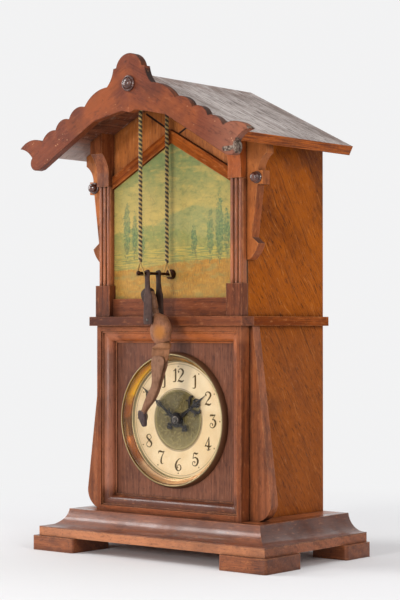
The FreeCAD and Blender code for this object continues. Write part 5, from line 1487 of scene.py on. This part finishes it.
DRESS = {
    panel_wood(): ["front_panel"],
    case_wood("frame_walnut", stiles_and_rails, 5, 0.25, coat=0.06, glow=0.33): ["front_frame"],
    moulding_wood(): ["frame_moulding"],
    cove_wood(): ["base_cove"],
    base_wood("base_board_wood", 31, 6.0, 0.05, 0.5): ["base_board"],
    base_wood("foot_wood", 77, 9.0, 0.62, 0.05): ["feet"],
    case_wood("upright_walnut", upright, 61, 0.55): ["plinth_blocks"],
    warm_wood("pilaster_wood", 12): ["pilaster_left", "pilaster_right"],
    warm_wood("lower_wing_wood", 12, 0.42): ["lower_wing_left", "lower_wing_right"],
    warm_wood("corbel_wood", 47, 0.56, 0.2, 0.55): ["corbel_left", "corbel_right"],
    wing_wood(): ["upper_wing_left", "upper_wing_right"],
    orange_wood("gable_trim_wood", pitched(TRIM_SLOPE), 28, 0.6): ["gable_trims"],
    orange_wood("belt_wood", fore_and_aft, 35, 0.75): ["belt_strips"],
    case_wood("shelf_walnut", level, 23, 0.44, streaks=1.1, shade=0.7): ["divider_shelf"],
    case_wood("rail_walnut", level, 23, 0.44, streaks=1.1): ["niche_rail"],
    side_wood(): ["side_panel_left", "side_panel_right"],
    barge_wood(): ["barge_board"],
    gable_wood(): ["gable_board"],
    roof_wood(): ["roof_panel_left", "roof_panel_right"],
    back_wood("door_wood", upright, 70): ["rear_door"],
    back_wood("back_gable_wood", level, 45): ["back_gable"],
    painted_scene(): ["painted_panel"],
    dial_lacquer(): ["dial_plate"],
    window_glass(): ["bezel_glass"],
    PLATE_BRASS: ["movement_front_plate", "movement_back_plate", "centre_wheel", "minute_wheel",
                  "hour_wheel", "third_wheel", "escape_wheel", "going_barrel", "drive_barrel"],
    WIRE_BRASS: ["rope_fittings"],
    BAR_BROWN: ["trapeze_bar"],
    CAST_BRASS: ["hinge_case_leaves", "hinge_door_leaves", "door_knob", "pendulum"],
    DARK_STEEL: ["trapeze_bracket", "going_key", "drive_key"],
    BRIGHT_STEEL: ["centre_arbor"],
}
for material, names in DRESS.items():
    for name in names:
        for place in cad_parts[name].material_slots:
            place.material = material


# Studio

BACKDROP = (0.89, 0.89, 0.895, 1)
SOFT_GREY = (0.4, 0.4, 0.41, 1)
FLOOR_TONES = ((0.84, 0.84, 0.845, 1), (0.86, 0.86, 0.865, 1))
FLOOR_REACH = 6.0
FADE_START, FADE_STOP = 260, 620
AIM = Vector((0, 0, 0.2))
BACKDROP_RAYS = ("Is Camera Ray", "Is Glossy Ray", "Is Transmission Ray")


def floor():
    """A pale floor that takes the object's shadow and turns into the backdrop further off."""
    f = Finish("studio_floor", {"Roughness": 0.8, "Specular IOR Level": 0.1})
    f.feed("Base Color", f.mix(f.noise(f.place(), 400, 2), *FLOOR_TONES))
    x, y, z = f.axes()
    fade = apart(x, y).over(FADE_START, FADE_STOP)
    path = f.node("ShaderNodeLightPath").socket.node
    camera_ray, gloss_ray, glass_ray = [Signal(f, path.outputs[name]) for name in BACKDROP_RAYS]
    seen = camera_ray.most(gloss_ray).most(glass_ray)
    white = f.node("ShaderNodeEmission", {}, {"Color": BACKDROP})
    both = f.node("ShaderNodeMixShader", {}, {0: seen * fade, 2: white})
    f.links.new(f.shader.outputs[0], both.socket.node.inputs[1])
    f.links.new(both.socket, f.nodes["Material Output"].inputs["Surface"])
    mesh = bpy.data.meshes.new("studio_floor")
    corners = [(x * FLOOR_REACH, y * FLOOR_REACH, 0) for x, y in ((-1, -1), (1, -1), (1, 1), (-1, 1))]
    mesh.from_pydata(corners, [], [(0, 1, 2, 3)])
    mesh.materials.append(f.material)
    ground = bpy.data.objects.new("studio_floor", mesh)
    scene.collection.objects.link(ground)


def lamp(name, place, wide, high, power):
    """A soft box that faces the object."""
    light = bpy.data.lights.new(name, "AREA")
    light.shape = "RECTANGLE"
    light.size = wide
    light.size_y = high
    light.energy = power
    holder = bpy.data.objects.new(name, light)
    holder.location = place
    holder.visible_camera = False
    holder.rotation_euler = (AIM - Vector(place)).to_track_quat("-Z", "Y").to_euler()
    scene.collection.objects.link(holder)


def surroundings():
    """A soft grey room whose backdrop looks white."""
    world = bpy.data.worlds.new("studio_white")
    world.use_nodes = True
    nodes, links = world.node_tree.nodes, world.node_tree.links
    back = nodes["Background"]
    path = nodes.new("ShaderNodeLightPath")
    seen = path.outputs[BACKDROP_RAYS[0]]
    for name in BACKDROP_RAYS[1:]:
        either = nodes.new("ShaderNodeMath")
        either.operation = "MAXIMUM"
        links.new(seen, either.inputs[0])
        links.new(path.outputs[name], either.inputs[1])
        seen = either.outputs[0]
    tint = nodes.new("ShaderNodeMix")
    tint.data_type = "RGBA"
    links.new(seen, tint.inputs[0])
    tint.inputs[6].default_value = SOFT_GREY
    tint.inputs[7].default_value = BACKDROP
    links.new(tint.outputs[2], back.inputs["Color"])
    scene.world = world


floor()
surroundings()
lamp("key_light", (-1.62, -0.8, 0.62), 0.6, 0.8, 14)
lamp("front_light", (0.0, -2.1, 0.55), 0.32, 0.3, 17)
lamp("low_light", (0.25, -1.7, 0.1), 0.8, 0.18, 3.2)
lamp("fill_light", (1.9, -0.5, 0.9), 1.0, 1.0, 14)
lamp("top_light", (0.2, 0.4, 1.9), 1.2, 1.2, 9)
lamp("gloss_light", (-1.25, -0.75, 1.4), 0.7, 0.45, 9.5)
